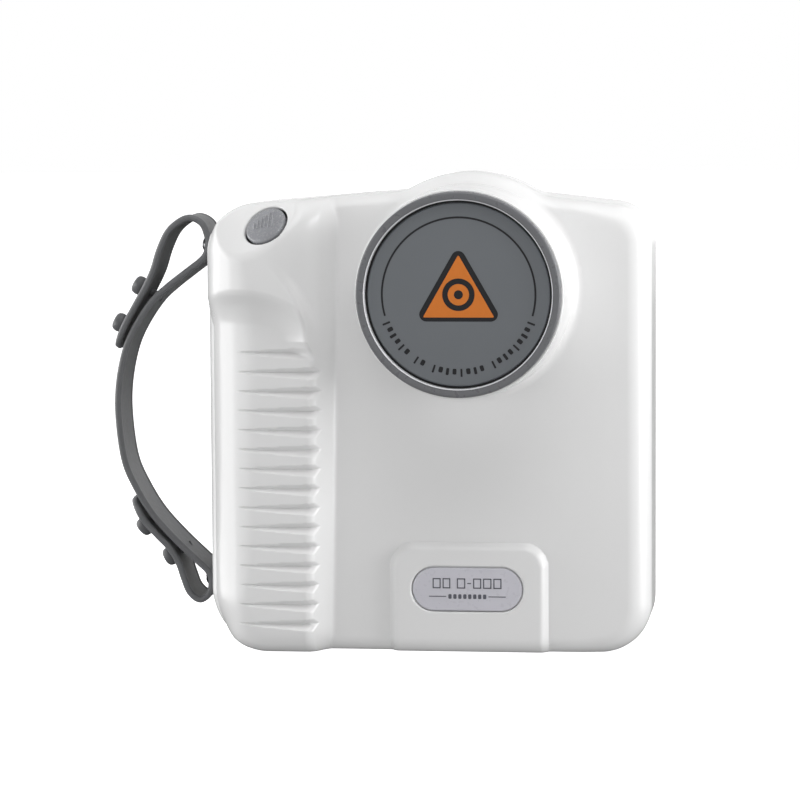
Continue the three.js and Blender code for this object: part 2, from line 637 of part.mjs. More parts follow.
function strapScrew() {
  const { headR, shaftR } = STRAP_SCREWS;
  const seat = STRAP.thick / 2 + 2.4; // the band stands 1.6 mm off the case at the screw
  return turned([[0, -8], [shaftR, -7], [shaftR, seat], [headR, seat], [headR, seat + 1.8],
    [headR - 0.6, seat + 2.6], [1, seat + 2.8], [1, seat + 1.8], [0, seat + 1.8]], 12);
}

const strapInsert = () => tube(STRAP_SCREWS.shaftR + GAP, STRAP_SCREWS.insertR, -10, -0.1, 12);

// ---- assembly -----------------------------------------------------------------------------------
// Places a mesh with its local +Y along a direction.
function place(mesh, direction, at) {
  mesh.quaternion.setFromUnitVectors(AROUND_Y, direction);
  mesh.position.copy(at);
}

const onBeamAxis = (mesh) => mesh.position.set(HUMP.x, 0, HUMP.z);

function addCase() {
  piece("front_shell", frontShell(), MATERIAL.white);
  piece("rear_shell", rearShell(), MATERIAL.white);
  CASE_SCREWS.forEach(({ x, z }, i) => {
    piece(`case_screw_${i + 1}`, caseScrew(), MATERIAL.steel).position.set(x, 0, z);
  });
  const { x, z, width, height, thick, recess } = PLATE;
  const plate = alongY(roundedRect(width, height, height / 2 - 0.01), 0, thick);
  piece("nameplate", plate, MATERIAL.lilac).position.set(x, PANEL.front + recess - thick - 0.1, z);
}

function addCone() {
  onBeamAxis(piece("cone_tube", coneTube(), MATERIAL.white));
  onBeamAxis(piece("cone_ring", coneRing(), MATERIAL.grey));
  onBeamAxis(piece("window_disc", windowDisc(), MATERIAL.slate));
  onBeamAxis(piece("cone_liner", coneLiner(), MATERIAL.lead));
  onBeamAxis(piece("beam_filter", beamFilter(), MATERIAL.aluminium));
  onBeamAxis(piece("lead_diaphragm", leadDiaphragm(), MATERIAL.lead));
}

function addXrayHead() {
  onBeamAxis(piece("tank_can", tankCan(), MATERIAL.steel));
  onBeamAxis(piece("lead_liner", leadLiner(), MATERIAL.lead));
  onBeamAxis(piece("tank_seal", tankSeal(), MATERIAL.dark));
  onBeamAxis(piece("tank_lid", tankLid(), MATERIAL.steel));
  onBeamAxis(piece("tank_bracket", tankBracket(), MATERIAL.steel));
  onBeamAxis(piece("hv_transformer", hvTransformer(), MATERIAL.copper));
  const tubeCentre = new THREE.Vector3(HUMP.x, -5, HUMP.z);
  place(piece("tube_glass", tubeGlass(), MATERIAL.glass), UP, tubeCentre);
  place(piece("anode", anode(), MATERIAL.copper), UP, tubeCentre);
  place(piece("cathode", cathode(), MATERIAL.steel), UP, tubeCentre);
  [-1, 1].forEach((side, i) => {
    const screw = piece(`bracket_screw_${i + 1}`, bracketScrew(), MATERIAL.steel);
    screw.position.set(HUMP.x + side * BRACKET.earX, 0, HUMP.z);
  });
}

function addTrigger() {
  place(piece("trigger_button", triggerButton(), MATERIAL.grey), BUTTON.axis, BUTTON.at);
  place(piece("trigger_spring", triggerSpring(), MATERIAL.steel), BUTTON.axis, BUTTON.at);
  place(piece("trigger_switch", triggerSwitch(), MATERIAL.board), BUTTON.axis, BUTTON.at);
}

function addRearControls() {
  piece("display_lens", displayLens(), MATERIAL.glass);
  piece("lcd_module", lcdModule(), MATERIAL.dark);
  piece("keypad_board", keypadBoard(), MATERIAL.board);
  KEYS.forEach(({ name, dx, dz, r }) => {
    piece(name, rearKey(r), MATERIAL.grey).position.set(KEYPAD.x + dx, 0, KEYPAD.z + dz);
  });
  piece("charge_socket", chargeSocket(), MATERIAL.dark);
  piece("charge_flap", chargeFlap(), MATERIAL.dark);
}

function addElectronics() {
  piece("main_board", mainBoard(), MATERIAL.board);
  piece("smoothing_capacitor_1", capacitor(), MATERIAL.dark).position.set(-8, 0, 27);
  piece("smoothing_capacitor_2", capacitor(), MATERIAL.dark).position.set(12, 0, 27);
  piece("inverter_coil", inverterCoil(), MATERIAL.copper).position.set(38, 0, 50);
  piece("buzzer", buzzer(), MATERIAL.dark).position.set(4, 0, 58);
  piece("battery_tray", batteryTray(), MATERIAL.dark);
  cellPlaces().forEach(([x, y], i) => {
    const cell = piece(`battery_cell_${i + 1}`, batteryCell(), MATERIAL.cell);
    place(cell, UP, new THREE.Vector3(x, y, CELL.base));
  });
}

function addStrap() {
  piece("strap", strap(), MATERIAL.silicone);
  STUDS.forEach((stud, i) => {
    const mesh = piece(`strap_stud_${i + 1}`, strapStud(stud.span), MATERIAL.silicone);
    place(mesh, studAim(stud), studPlace(stud));
  });
  Object.entries({ top: STRAP_SCREWS.top, bottom: STRAP_SCREWS.bottom }).forEach(([end, z]) => {
    const at = new THREE.Vector3(-CASE.half, STRAP.middle, z);
    place(piece(`strap_screw_${end}`, strapScrew(), MATERIAL.chrome), LEFT, at);
    place(piece(`strap_insert_${end}`, strapInsert(), MATERIAL.brass), LEFT, at);
  });
}

addCase();
addCone();
addXrayHead();
addTrigger();
addRearControls();
addElectronics();
addStrap();

export default unit;
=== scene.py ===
"""Hand-held dental X-ray unit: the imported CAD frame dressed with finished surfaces.

Lengths are in millimetres until a mesh is made, which is where they become metres. +Z is up, the cone
points to -Y, and the origin is the middle of the flat base, as in the CAD model.
"""
import math

import bmesh
import bpy
import numpy as np
from mathutils import Matrix, Vector
from numpy import clip, hypot, maximum, minimum, sqrt

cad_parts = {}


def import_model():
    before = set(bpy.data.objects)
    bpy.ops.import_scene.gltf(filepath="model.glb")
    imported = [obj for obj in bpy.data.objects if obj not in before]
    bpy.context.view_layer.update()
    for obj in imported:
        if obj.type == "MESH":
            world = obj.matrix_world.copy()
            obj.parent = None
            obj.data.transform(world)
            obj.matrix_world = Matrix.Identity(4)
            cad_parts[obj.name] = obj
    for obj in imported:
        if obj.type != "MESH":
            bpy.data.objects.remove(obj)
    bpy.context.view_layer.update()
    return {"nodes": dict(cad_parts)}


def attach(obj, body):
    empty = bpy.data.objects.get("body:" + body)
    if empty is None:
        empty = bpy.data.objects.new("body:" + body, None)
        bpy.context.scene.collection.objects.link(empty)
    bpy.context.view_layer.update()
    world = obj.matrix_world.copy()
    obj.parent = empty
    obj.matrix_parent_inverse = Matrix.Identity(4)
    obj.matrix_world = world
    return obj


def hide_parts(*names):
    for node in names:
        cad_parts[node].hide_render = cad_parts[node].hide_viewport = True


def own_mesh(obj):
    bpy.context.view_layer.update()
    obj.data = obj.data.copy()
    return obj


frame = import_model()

MM = 0.001
SCENE = bpy.context.scene

# ---- sizes ----
HALF, RIGHT = 72.0, 71.0  # the case's reach to the left and to the right of the middle
DRAFT = 0.00085        # share of the half width lost per mm behind the parting plane
FRONT, BACK = -26.0, 32.0
SPLIT = 4.0            # the parting plane between the shells
SEAM = 0.12            # half the visible parting gap
WALL = 2.4
BEAM_X, BEAM_Z = 12.9, 117.0
HUMP_R = 37.7
HUMP_FALL = 0.045      # radius the hump loses per mm towards the back
GRIP_FRONT, HEAD_FRONT = -36.35, -42.6
FLANK = (0.875, -0.484)  # outward normal of the sloped side shared by the grip and the head
RIB_COUNT, RIB_TOP, RIB_PITCH = 15, 97.4, 6.24
RIB_FOOT = RIB_TOP - RIB_COUNT * RIB_PITCH
LEDGE = {"x": -59.0, "z": 101.0, "rx": 24.5, "rz": 16.0, "slant": 1.2}
PANEL = {"left": -13.0, "right": 38.3, "top": 36.0, "r": 8.3, "rise": 2.5, "edge": 2.8}
PLATE = {"x": 12.3, "z": 20.9, "width": 35.3, "height": 13.9}
CONE_R, MOUTH_R, RING_R, DISC_R = 34.0, 32.7, 32.2, 29.35
RING_FRONT, RING_BACK, DISC_FRONT = -58.0, -54.7, -55.1
BUTTON_AT = np.array([-50.9, -36.0, 138.0])
BUTTON_AXIS = np.array([-0.33, -0.69, 0.64]) / math.hypot(0.33, 0.69, 0.64)
BUTTON_R, BUTTON_HOLE = 6.9, 7.6
COIL_R, WIRE_R, COIL_LOW, COIL_RISE = 4.2, 0.4, -9.1, 3.7
COIL_TURNS, COIL_STEPS = 3.5, 140
CASE_SCREWS = [(-57, 132), (59, 130), (-56, 12), (57, 11)]
DISPLAY = {"x": 12.0, "z": 107.0, "width": 56.0, "height": 40.0, "view_w": 48.0, "view_h": 32.0}
KEYPAD_X, KEYPAD_Z = 12.0, 61.0
KEYS = {
    "key_confirm": (0, 0, 6.0),
    "key_up": (0, 15, 5.2),
    "key_down": (0, -15, 5.2),
    "key_left": (-17, 0, 5.2),
    "key_right": (17, 0, 5.2),
    "key_power": (38, 0, 5.2),
}
CHARGE = {"x": 42.0, "z": 20.0, "width": 17.0, "height": 13.0, "hole": 4.2}


# ---- distance fields ----
def all_of(first, *others):
    """The part inside every field."""
    for other in others:
        first = maximum(first, other)
    return first


def meet(a, b, r):
    """The part inside both fields, with its edge rounded to radius r."""
    return minimum(-r, maximum(a, b)) + hypot(maximum(r + a, 0), maximum(r + b, 0))


def merge(a, b, r):
    """The part inside either field, with the crease between them filled to radius r."""
    return maximum(r, minimum(a, b)) - hypot(maximum(r - a, 0), maximum(r - b, 0))


def carve(a, b, r):
    """What is left of a when b is taken out, with the new edge rounded to radius r."""
    return meet(a, -b, r)


def ease(value, low, high):
    """0 below low, 1 above high, smooth in between."""
    t = clip((value - low) / (high - low), 0, 1)
    return t * t * (3 - 2 * t)


def rounded_rect(u, v, half_u, half_v, r):
    du, dv = np.abs(u) - half_u + r, np.abs(v) - half_v + r
    return minimum(maximum(du, dv), 0) + hypot(maximum(du, 0), maximum(dv, 0)) - r


def opening(x, z, box, more, r):
    """A rounded rectangle round a named place, wider by more on each side."""
    return rounded_rect(x - box["x"], z - box["z"], box["width"] / 2 + more, box["height"] / 2 + more, r)


def soft_ramp(t, soft):
    """max(t, 0) with a soft corner."""
    return 0.5 * (t + sqrt(t * t + soft * soft))


def roof_left(x, z):
    return (z - 148.1 - 0.0775 * (x + 15)) / math.hypot(1, 0.0775)


def roof_right(x, z):
    return (z - 147.4 + 0.116 * (x - 31.75)) / math.hypot(1, 0.116)


def outline(x, y, z):
    """The case from the front: round corners, a roof in two slopes, and a hump that falls backwards."""
    left, right, base = -x - HALF, x - RIGHT, -z
    body = all_of(meet(left, base, 20.0), meet(right, base, 16.0),
                  meet(left, roof_left(x, z), 15.0), meet(right, roof_right(x, z), 12.0))
    sunk = HUMP_FALL * maximum(y + 10, 0)
    hump = hypot(x - BEAM_X + 0.5 * sunk, z - BEAM_Z) - HUMP_R + sunk
    return merge(body, hump, 1.2)


# ---- surface extraction ----
def polar(radius, degrees):
    """The (u, v) point at a radius and an angle."""
    angle = math.radians(degrees)
    return radius * math.cos(angle), radius * math.sin(angle)


def linked(name, data):
    """A new object in the scene."""
    obj = bpy.data.objects.new(name, data)
    SCENE.collection.objects.link(obj)
    return obj


def moved(obj, at, turn=Matrix.Identity(4)):
    """Turns the object's mesh and then moves it to a point in millimetres."""
    obj.data.transform(Matrix.Translation(Vector(at) * MM) @ turn)
    return obj


CORNERS = [(i, j, k) for i in (0, 1) for j in (0, 1) for k in (0, 1)]
EDGES = [(a, b) for a in range(8) for b in range(a + 1, 8)
         if sum(abs(p - q) for p, q in zip(CORNERS[a], CORNERS[b])) == 1]


def spans(*parts):
    """Grid lines from (start, end, step) runs laid end to end."""
    lines = [np.linspace(a, b, max(1, round((b - a) / step)) + 1)[:-1] for a, b, step in parts]
    return np.concatenate(lines + [[parts[-1][1]]])


def surface_net(field, xs, ys, zs):
    """Vertices and outward quads of the zero surface of a field on a grid."""
    values = np.broadcast_to(
        field(xs[:, None, None], ys[None, :, None], zs[None, None, :]), (len(xs), len(ys), len(zs)))
    inside = values < 0
    count = sum(inside[i:len(xs) - 1 + i, j:len(ys) - 1 + j, k:len(zs) - 1 + k].astype(np.int8)
                for i, j, k in CORNERS)
    active = (count > 0) & (count < 8)
    cells = np.argwhere(active)
    number = np.full(active.shape, -1, np.int64)
    number[active] = np.arange(len(cells))
    x, y, z = cells.T
    corner_values = [values[x + i, y + j, z + k] for i, j, k in CORNERS]
    total = np.zeros((len(cells), 3))
    hits = np.zeros(len(cells))
    for a, b in EDGES:
        va, vb = corner_values[a], corner_values[b]
        crossed = (va < 0) != (vb < 0)
        t = np.where(crossed, va / np.where(crossed, va - vb, 1), 0)[:, None]
        point = np.array(CORNERS[a]) * (1 - t) + np.array(CORNERS[b]) * t
        total += np.where(crossed[:, None], point, 0)
        hits += crossed
    within = (total / hits[:, None]).T
    rows = [lines[c] + t * (lines[c + 1] - lines[c]) for lines, c, t in zip((xs, ys, zs), cells.T, within)]
    quads = []
    for axis in range(3):
        change = -np.diff(inside.astype(np.int8), axis=axis)
        u, v = (axis + 1) % 3, (axis + 2) % 3
        for sign in (1, -1):
            at = np.argwhere(change == sign)
            keep = (at[:, u] > 0) & (at[:, v] > 0)
            at = at[keep & (at[:, u] < active.shape[u]) & (at[:, v] < active.shape[v])]
            ring = []
            for du, dv in ((-1, -1), (0, -1), (0, 0), (-1, 0)):
                cell = at.copy()
                cell[:, [u, v]] += du, dv
                ring.append(number[tuple(cell.T)])
            quads.append(np.stack(ring[::sign], 1))
    return np.stack(rows, 1), np.concatenate(quads)


def unit(vectors):
    """The vectors scaled to length 1."""
    return vectors / maximum(np.linalg.norm(vectors, axis=-1, keepdims=True), 1e-9)


def gradient(field, points, step=0.02):
    parts = []
    for offset in np.eye(3) * step:
        parts.append((field(*(points + offset).T) - field(*(points - offset).T)) / (2 * step))
    return np.stack(parts, 1)


def settle(field, points, rounds=4, reach=0.5):
    """Moves the points on to the field's zero surface."""
    for _ in range(rounds):
        slope = gradient(field, points)
        size = maximum((slope ** 2).sum(1), 0.05)
        move = slope * (field(*points.T) / size)[:, None]
        length = np.linalg.norm(move, axis=1, keepdims=True)
        points = points - move * minimum(1, reach / maximum(length, 1e-9))
    return points


STANDS_IN = "_visual"  # ends the name of a piece that replaces the CAD node it is named after


def mesh_object(name, vertices, faces):
    name = name + STANDS_IN if name in frame["nodes"] else name
    mesh = bpy.data.meshes.new(name)
    rows = faces.tolist() if isinstance(faces, np.ndarray) else faces
    mesh.from_pydata((np.asarray(vertices) * MM).tolist(), [], rows)
    mesh.validate()
    return linked(name, mesh)


def bake_modifiers(obj):
    """Replaces the object's mesh by what its modifiers make of it."""
    evaluated = obj.evaluated_get(bpy.context.evaluated_depsgraph_get())
    mesh = bpy.data.meshes.new_from_object(evaluated)
    old = obj.data
    obj.modifiers.clear()
    obj.data = mesh
    bpy.data.meshes.remove(old)


def field_object(name, field, xs, ys, zs, keep):
    """A piece from a distance field, thinned to the share keep of its faces and shaded by the field."""
    vertices, quads = surface_net(field, xs, ys, zs)
    obj = mesh_object(name, settle(field, vertices), quads)
    obj.modifiers.new("thin", "DECIMATE").ratio = keep
    bake_modifiers(obj)
    points = np.empty(len(obj.data.vertices) * 3, np.float32)
    obj.data.vertices.foreach_get("co", points)
    points = settle(field, points.reshape(-1, 3).astype(float) / MM, 2, 0.2)
    obj.data.vertices.foreach_set("co", (points * MM).astype(np.float32).ravel())
    obj.data.shade_smooth()
    obj.data.normals_split_custom_set_from_vertices(unit(gradient(field, points)).tolist())
    obj.data.update()
    return obj


# ---- case shells ----
def soft_min(a, b, k):
    """The part inside either field, with a crease fillet of width k that fades out where k is 0."""
    near = maximum(k - np.abs(a - b), 0)
    return minimum(a, b) - near * near / (4 * maximum(k, 1e-3))


def rib_depth(x, z):
    """How far the finger grooves cut into the grip: nothing on the left, most at the crest."""
    full = 2.7 * clip((x + 62) / 26.5, 0, 1.06) ** 0.8
    index = clip(np.round((RIB_TOP - z) / RIB_PITCH), 0, RIB_COUNT - 1)
    above = z - (RIB_TOP - index * RIB_PITCH)
    wall = 0.28 * above + 1.38 * sqrt(above * above + 0.01)
    return soft_ramp(full - wall, 0.06)


def panel_rise(x, z):
    middle, half = (PANEL["left"] + PANEL["right"]) / 2, (PANEL["right"] - PANEL["left"]) / 2
    inset = -rounded_rect(x - middle, z - PANEL["top"] + 40, half, 40, PANEL["r"])
    return PANEL["rise"] * np.sin(0.5 * math.pi * clip(inset / PANEL["edge"], 0, 1))


def hand_field(x, y, z):
    """The grip and the button head, which share one sloped flank."""
    flank = FLANK[0] * (x + 31.9 - 0.019 * z) + FLANK[1] * (y - FRONT)
    grip = GRIP_FRONT - y + rib_depth(x, z)
    up = maximum(z - LEDGE["z"], 0)
    sunk = LEDGE["slant"] * clip(y - HEAD_FRONT, 0, 8)
    spread = LEDGE["rx"] - sunk + 1.2 * maximum(LEDGE["z"] - z, 0)
    across = x - LEDGE["x"]
    share = maximum(hypot(across / spread, up / (LEDGE["rz"] - sunk)), 1e-3)
    reach = maximum(hypot(across, up), 1e-3 * LEDGE["rz"])
    ledge = reach / share - reach
    head = meet(HEAD_FRONT - y, ledge, 1.2)
    return meet(merge(grip, head, 3.5), flank, 1.8 + 9 * ease(-ledge, 0.5, 12))


def hand_setback(x, z, inside):
    """How far the hand part's front lies back where it rounds into the case outline."""
    from_left, from_top = x + HALF, 146 - z
    low = z * z / (from_left * from_left + z * z + 1)
    high = from_top * from_top / (from_left * from_left + from_top * from_top + 1)
    radius = np.where(z < 73, 8 + 12 * low, 10 + 10 * high)
    turn = clip(radius - inside, 0, 0.999 * radius)
    return radius - sqrt(radius * radius - turn * turn)


def along_button(x, y, z):
    """Distance from the button's axis, and height along it."""
    offset = [x - BUTTON_AT[0], y - BUTTON_AT[1], z - BUTTON_AT[2]]
    height = sum(o * a for o, a in zip(offset, BUTTON_AXIS))
    square = sum(o * o for o in offset)
    return sqrt(maximum(square - height * height, 0)), height


def front_outside(x, y, z):
    side = outline(x, y, z)
    case = meet(side, FRONT - panel_rise(x, z) - y, 5 + 3 * ease(x, 45, 68))
    radius = hypot(x - BEAM_X, z - BEAM_Z)
    collar = maximum(radius - CONE_R + 0.055 * (FRONT - y), FRONT - 3.6 - y)
    case = merge(case, collar, 2.6)
    hand = maximum(side, hand_field(x, y - hand_setback(x, z, -side), z))
    across = x - BUTTON_AT[0] + 0.5 * (z - BUTTON_AT[2])
    bulge = 0.03 * maximum(across - 9.5, 0) ** 2 + 0.014 * maximum(-across - 6, 0) ** 2
    hand = meet(hand, along_button(x, y, z)[1] - bulge, 1.5)
    body = soft_min(case, hand, 0.9 * ease(x, -44, -38))
    plate = opening(x, z, PLATE, 0.35, PLATE["height"] / 2 + 0.3)
    recess = maximum(plate, y - FRONT + PANEL["rise"] - 1.2)
    return maximum(carve(body, recess, 0.55), -z)


def front_field(x, y, z):
    outside = front_outside(x, y, z)
    shell = maximum(meet(outside, y - SPLIT + SEAM, 0.35), -outside - WALL)
    for px, pz in CASE_SCREWS:
        radius = hypot(x - px, z - pz)
        post = all_of(radius - 3.6, -18 - y, outside, y - SPLIT + 0.2)
        shell = maximum(minimum(shell, post), minimum(1.75 - radius, y + 16))
    for height in STRAP_SCREWS.values():
        radius = hypot(y + 6, z - height)
        boss = all_of(radius - 5.5, x + HALF - 10, outside)
        shell = maximum(minimum(shell, boss), minimum(3.3 - radius, -HALF + 14 - x))
    radius = hypot(x - BEAM_X, z - BEAM_Z)
    shell = maximum(shell, -maximum(radius - 30.15, y - FRONT - 8))
    radius, height = along_button(x, y, z)
    hole = maximum(radius - BUTTON_HOLE, -height - 6)
    pocket = all_of(radius - 9.2, height + 2.6, -height - 6)
    return maximum(carve(shell, hole, 0.45), -pocket)


def rear_field(x, y, z):
    outside = meet(outline(x * (1 + DRAFT * maximum(y - SPLIT, 0)), y, z), y - BACK, 8.0)
    shell = maximum(meet(outside, SPLIT + SEAM - y, 0.35), -outside - WALL)
    shell = carve(shell, maximum(opening(x, z, DISPLAY, 0.25, 3.3), BACK - 1.5 - y), 0.4)
    view = rounded_rect(x - DISPLAY["x"], z - DISPLAY["z"], DISPLAY["view_w"] / 2, DISPLAY["view_h"] / 2, 2)
    shell = maximum(shell, -maximum(view, BACK - 6 - y))
    dish = rounded_rect(x - KEYPAD_X - 10, z - KEYPAD_Z, 37, 25, 10)
    shell = carve(shell, maximum(dish, BACK - 0.8 - y), 0.6)
    shell = carve(shell, maximum(opening(x, z, CHARGE, 0.35, 2), BACK - 1.5 - y), 0.3)
    holes = [(KEYPAD_X + dx, KEYPAD_Z + dz, r + 0.35) for dx, dz, r in KEYS.values()]
    for hx, hz, r in holes + [(CHARGE["x"], CHARGE["z"], CHARGE["hole"])]:
        shell = carve(shell, maximum(hypot(x - hx, z - hz) - r, BACK - 6 - y), 0.25)
    for px, pz in CASE_SCREWS:
        radius = hypot(x - px, z - pz)
        post = all_of(radius - 4.6, outside, SPLIT + 0.2 - y)
        shell = carve(minimum(shell, post), maximum(radius - 3.1, 10 - y), 0.3)
        shell = maximum(shell, 1.75 - radius)
    return shell


def front_shell():
    return field_object(
        "front_shell", front_field,
        spans((-73.2, -62, 0.55), (-62, -40, 0.42), (-40, -28, 0.5), (-28, -14, 1.0), (-14, 40, 0.8),
              (40, 66, 1.1), (66, 73, 0.6)),
        spans((-44, -24, 0.5), (-24, 2, 1.0), (2, 4.25, 0.25)),
        spans((-0.64, RIB_FOOT, 0.5), (RIB_FOOT, RIB_TOP, RIB_PITCH / 15), (RIB_TOP, 126, 0.5),
              (126, 148, 0.42), (148, 155.6, 0.6)),
        keep=0.3)


def rear_shell():
    return field_object(
        "rear_shell", rear_field,
        spans((-73, -62, 0.6), (-62, -20, 1.0), (-20, 54, 0.6), (54, 73, 0.6)),
        spans((3.9, 5, 0.25), (5, 26, 1.2), (26, 32.6, 0.35)),
        spans((-0.6, 8, 0.6), (8, 90, 0.6), (90, 126, 0.8), (126, 155.6, 0.6)),
        keep=0.35)


# ---- meshes from rings ----
def softened(points, steps=5):
    """A profile of (u, v, trim) corners as a line whose corners are curves that start trim away."""
    line = []
    for i, (u, v, trim) in enumerate(points):
        here = np.array([u, v], float)
        if trim <= 0 or i in (0, len(points) - 1):
            line.append(here)
            continue
        ends = []
        for other in (points[i - 1], points[i + 1]):
            way = np.array(other[:2], float) - here
            ends.append(here + way * min(trim / np.linalg.norm(way), 0.49))
        for t in np.linspace(0, 1, steps):
            line.append((1 - t) ** 2 * ends[0] + 2 * t * (1 - t) * here + t * t * ends[1])
    return line


def loft(name, rings, closed=False, sharp=40):
    """Joins rings by quads, and caps the ends unless the last ring joins the first.

    The shading keeps big faces flat, and edges over the given angle sharp.
    """
    size = len(rings[0])
    vertices = [tuple(p) for ring in rings for p in ring]
    faces = []
    pairs = len(rings) if closed else len(rings) - 1
    for i in range(pairs):
        a, b = i * size, (i + 1) % len(rings) * size
        faces += [(a + k, a + (k + 1) % size, b + (k + 1) % size, b + k) for k in range(size)]
    if not closed:
        faces += [tuple(reversed(range(size))), tuple(range((len(rings) - 1) * size, len(rings) * size))]
    obj = mesh_object(name, vertices, faces)
    bm = bmesh.new()
    bm.from_mesh(obj.data)
    bmesh.ops.remove_doubles(bm, verts=bm.verts, dist=1e-7)
    bmesh.ops.recalc_face_normals(bm, faces=bm.faces)
    bm.to_mesh(obj.data)
    bm.free()
    obj.data.shade_smooth()
    obj.data.set_sharp_from_angle(angle=math.radians(sharp))
    weighted = obj.modifiers.new("weighted", "WEIGHTED_NORMAL")
    weighted.keep_sharp = True
    weighted.weight = 80
    bake_modifiers(obj)
    return obj


def turned(name, profile, steps=96, closed=False, sharp=40):
    """A solid of revolution about local Y from (radius, height, corner) points."""
    line = softened(list(profile) + [profile[0]] if closed else profile)
    if closed:
        line = line[:-1]
    circle = [polar(1, 360 * k / steps) for k in range(steps)]
    return loft(name, [[(r * u, h, r * v) for u, v in circle] for r, h in line], closed, sharp)


def slab(name, outline_at, low, high, edge=0.4, steps=4, sharp=40):
    """A plate between two Y planes; outline_at(inset) gives its (x, z) outline moved inwards."""
    arc = [polar(edge, 90 * k / steps) for k in range(steps + 1)]
    rows = [(edge - v, low + edge - u) for u, v in arc] + [(edge - u, high - edge + v) for u, v in arc]
    return loft(name, [[(x, y, z) for x, z in outline_at(inset)] for inset, y in rows], sharp=sharp)


def arc_points(cx, cz, r, start, end, steps):
    """Points on an arc between two angles in degrees."""
    arc = [polar(r, start + (end - start) * k / steps) for k in range(steps + 1)]
    return [(cx + u, cz + v) for u, v in arc]


# Each of the next functions makes an outline function for slab().
def rect_line(cx, cz, width, height, r, steps=10):
    def at(inset):
        corner = max(r - inset, 0.02)
        hw, hh = width / 2 - inset - corner, height / 2 - inset - corner
        points = []
        for sx, sz, start in ((1, 1, 0), (-1, 1, 90), (-1, -1, 180), (1, -1, 270)):
            points += arc_points(cx + sx * hw, cz + sz * hh, corner, start, start + 90, steps)
        return points
    return at


def round_line(cx, cz, r, steps=64):
    return lambda inset: arc_points(cx, cz, r - inset, 0, 360, steps)[:-1]


def triangle_line(cx, cz, half, apex, base, r, steps=8):
    """A triangle with round corners."""
    corners = [np.array([cx, cz + apex]), np.array([cx - half, cz + base]), np.array([cx + half, cz + base])]

    def at(inset):
        corner_r = max(r - inset, 0.15)
        points = []
        for i, here in enumerate(corners):
            to_before, to_after = unit(corners[i - 1] - here), unit(corners[(i + 1) % 3] - here)
            bisector = unit(to_before + to_after)
            sine = math.sqrt((1 - float(to_before @ to_after)) / 2)
            centre = here + bisector * ((corner_r + inset) / sine)
            middle = math.degrees(math.atan2(-bisector[1], -bisector[0]))
            spread = 90 - math.degrees(math.asin(sine))
            points += arc_points(*centre, corner_r, middle - spread, middle + spread, steps)
        return points
    return at


def arc_line(cx, cz, r, width, start, end, steps=72):
    """A thin arc band between two angles in degrees."""
    def at(inset):
        half = width / 2 - inset
        inner = arc_points(cx, cz, r - half, start, end, steps)
        return arc_points(cx, cz, r + half, start, end, steps) + inner[::-1]
    return at


def turned_bar(cx, cz, width, height, angle):
    """A small bar turned by an angle in degrees."""
    c, s = polar(1, angle)

    def at(inset):
        shape = rect_line(0, 0, width, height, min(width, height) * 0.3, 3)(inset)
        return [(cx + u * c - v * s, cz + u * s + v * c) for u, v in shape]
    return at


def joined(name, parts):
    """One object from several, in order."""
    first = parts[0]
    with bpy.context.temp_override(active_object=first, selected_editable_objects=parts, object=first):
        bpy.ops.object.join()
    first.name = first.data.name = name
    return first


def placed(obj, at, axis):
    """Moves a mesh made about local Y so that +Y points along axis from the given point (millimetres)."""
    return moved(obj, at, Vector((0, 1, 0)).rotation_difference(Vector(axis)).to_matrix().to_4x4())


# ---- cone, ring and window ----
BEAM = (BEAM_X, 0, BEAM_Z)
BEAM_STEPS = 160
GAP_SHADE_R = DISC_R - 0.7  # the gap between the disc and the ring


def on_beam(name, profile, steps=BEAM_STEPS, closed=True):
    """A solid of revolution about the beam axis from (radius, Y, corner) points."""
    return moved(turned(name, profile, steps, closed), BEAM)


def cone_tube():
    mouth = RING_BACK + 0.25
    collar_end = FRONT - 3.55
    profile = [
        (28, mouth + 1.6, 0), (29.3, mouth + 1.6, 0.3), (29.3, mouth + 0.05, 0.3), (MOUTH_R, mouth, 0.55),
        (33.15, mouth + 14, 1.5), (33.75, collar_end, 0.0), (33.7, FRONT - 0.4, 0.3),
        (29.8, FRONT - 0.4, 0.3), (29.8, -23.9, 0.3), (28, -23.9, 0.2),
    ]
    return on_beam("cone_tube", profile)


def cone_ring():
    profile = [
        (29.75, RING_FRONT + 0.1, 0.25), (30.5, RING_FRONT, 0.4), (RING_R - 0.2, RING_FRONT, 0.9),
        (RING_R, RING_BACK, 0.35), (DISC_R + 0.1, RING_BACK, 0.2), (DISC_R + 0.1, RING_FRONT + 0.9, 0.2),
        (29.75, RING_FRONT + 0.45, 0.1),
    ]
    return on_beam("cone_ring", profile)


def ring_rim():
    """A thin pale band inside the ring: a painted highlight standing for the glint on the ring's inner edge.
    """
    profile = [(-0.05, -55.05, 0.05), (-0.05, -57.3, 0.12), (0.3, -57.75, 0.12), (0.35, -57.2, 0.05),
               (0.08, -56.9, 0.05), (0.08, -55.05, 0.05)]
    return on_beam("ring_rim", [(DISC_R + u, y, corner) for u, y, corner in profile])


def window_disc():
    rim, back = GAP_SHADE_R - 0.05, -53.2
    profile = [(0, DISC_FRONT, 0), (rim - 0.3, DISC_FRONT, 0.2), (rim, DISC_FRONT + 0.3, 0.15),
               (rim, back, 0.2), (0, back, 0)]
    return on_beam("window_disc", profile, closed=False)


def window_seal():
    """A thin near-black piece between the disc and the ring: painted shade for the dark gap."""
    front, back, outer = DISC_FRONT + 0.35, -53.4, DISC_R - 0.1
    profile = [(GAP_SHADE_R, back, 0.1), (GAP_SHADE_R, front, 0.1), (outer, front, 0.1), (outer, back, 0.1)]
    return on_beam("window_seal", profile)


PRINT_R = 24.0
PRINT_THICK = 0.08
WORDS = (6, 2, 8, 9)  # plain bars in each group of the lower arc
BAR_TURN, GROUP_TURN = 5.2, 4.0  # degrees from bar to bar, and more between groups
BARS = ((0.6, 2.5), (1.3, 1.8), (0.9, 2.2), (1.2, 1.8))  # widths and heights, in turn


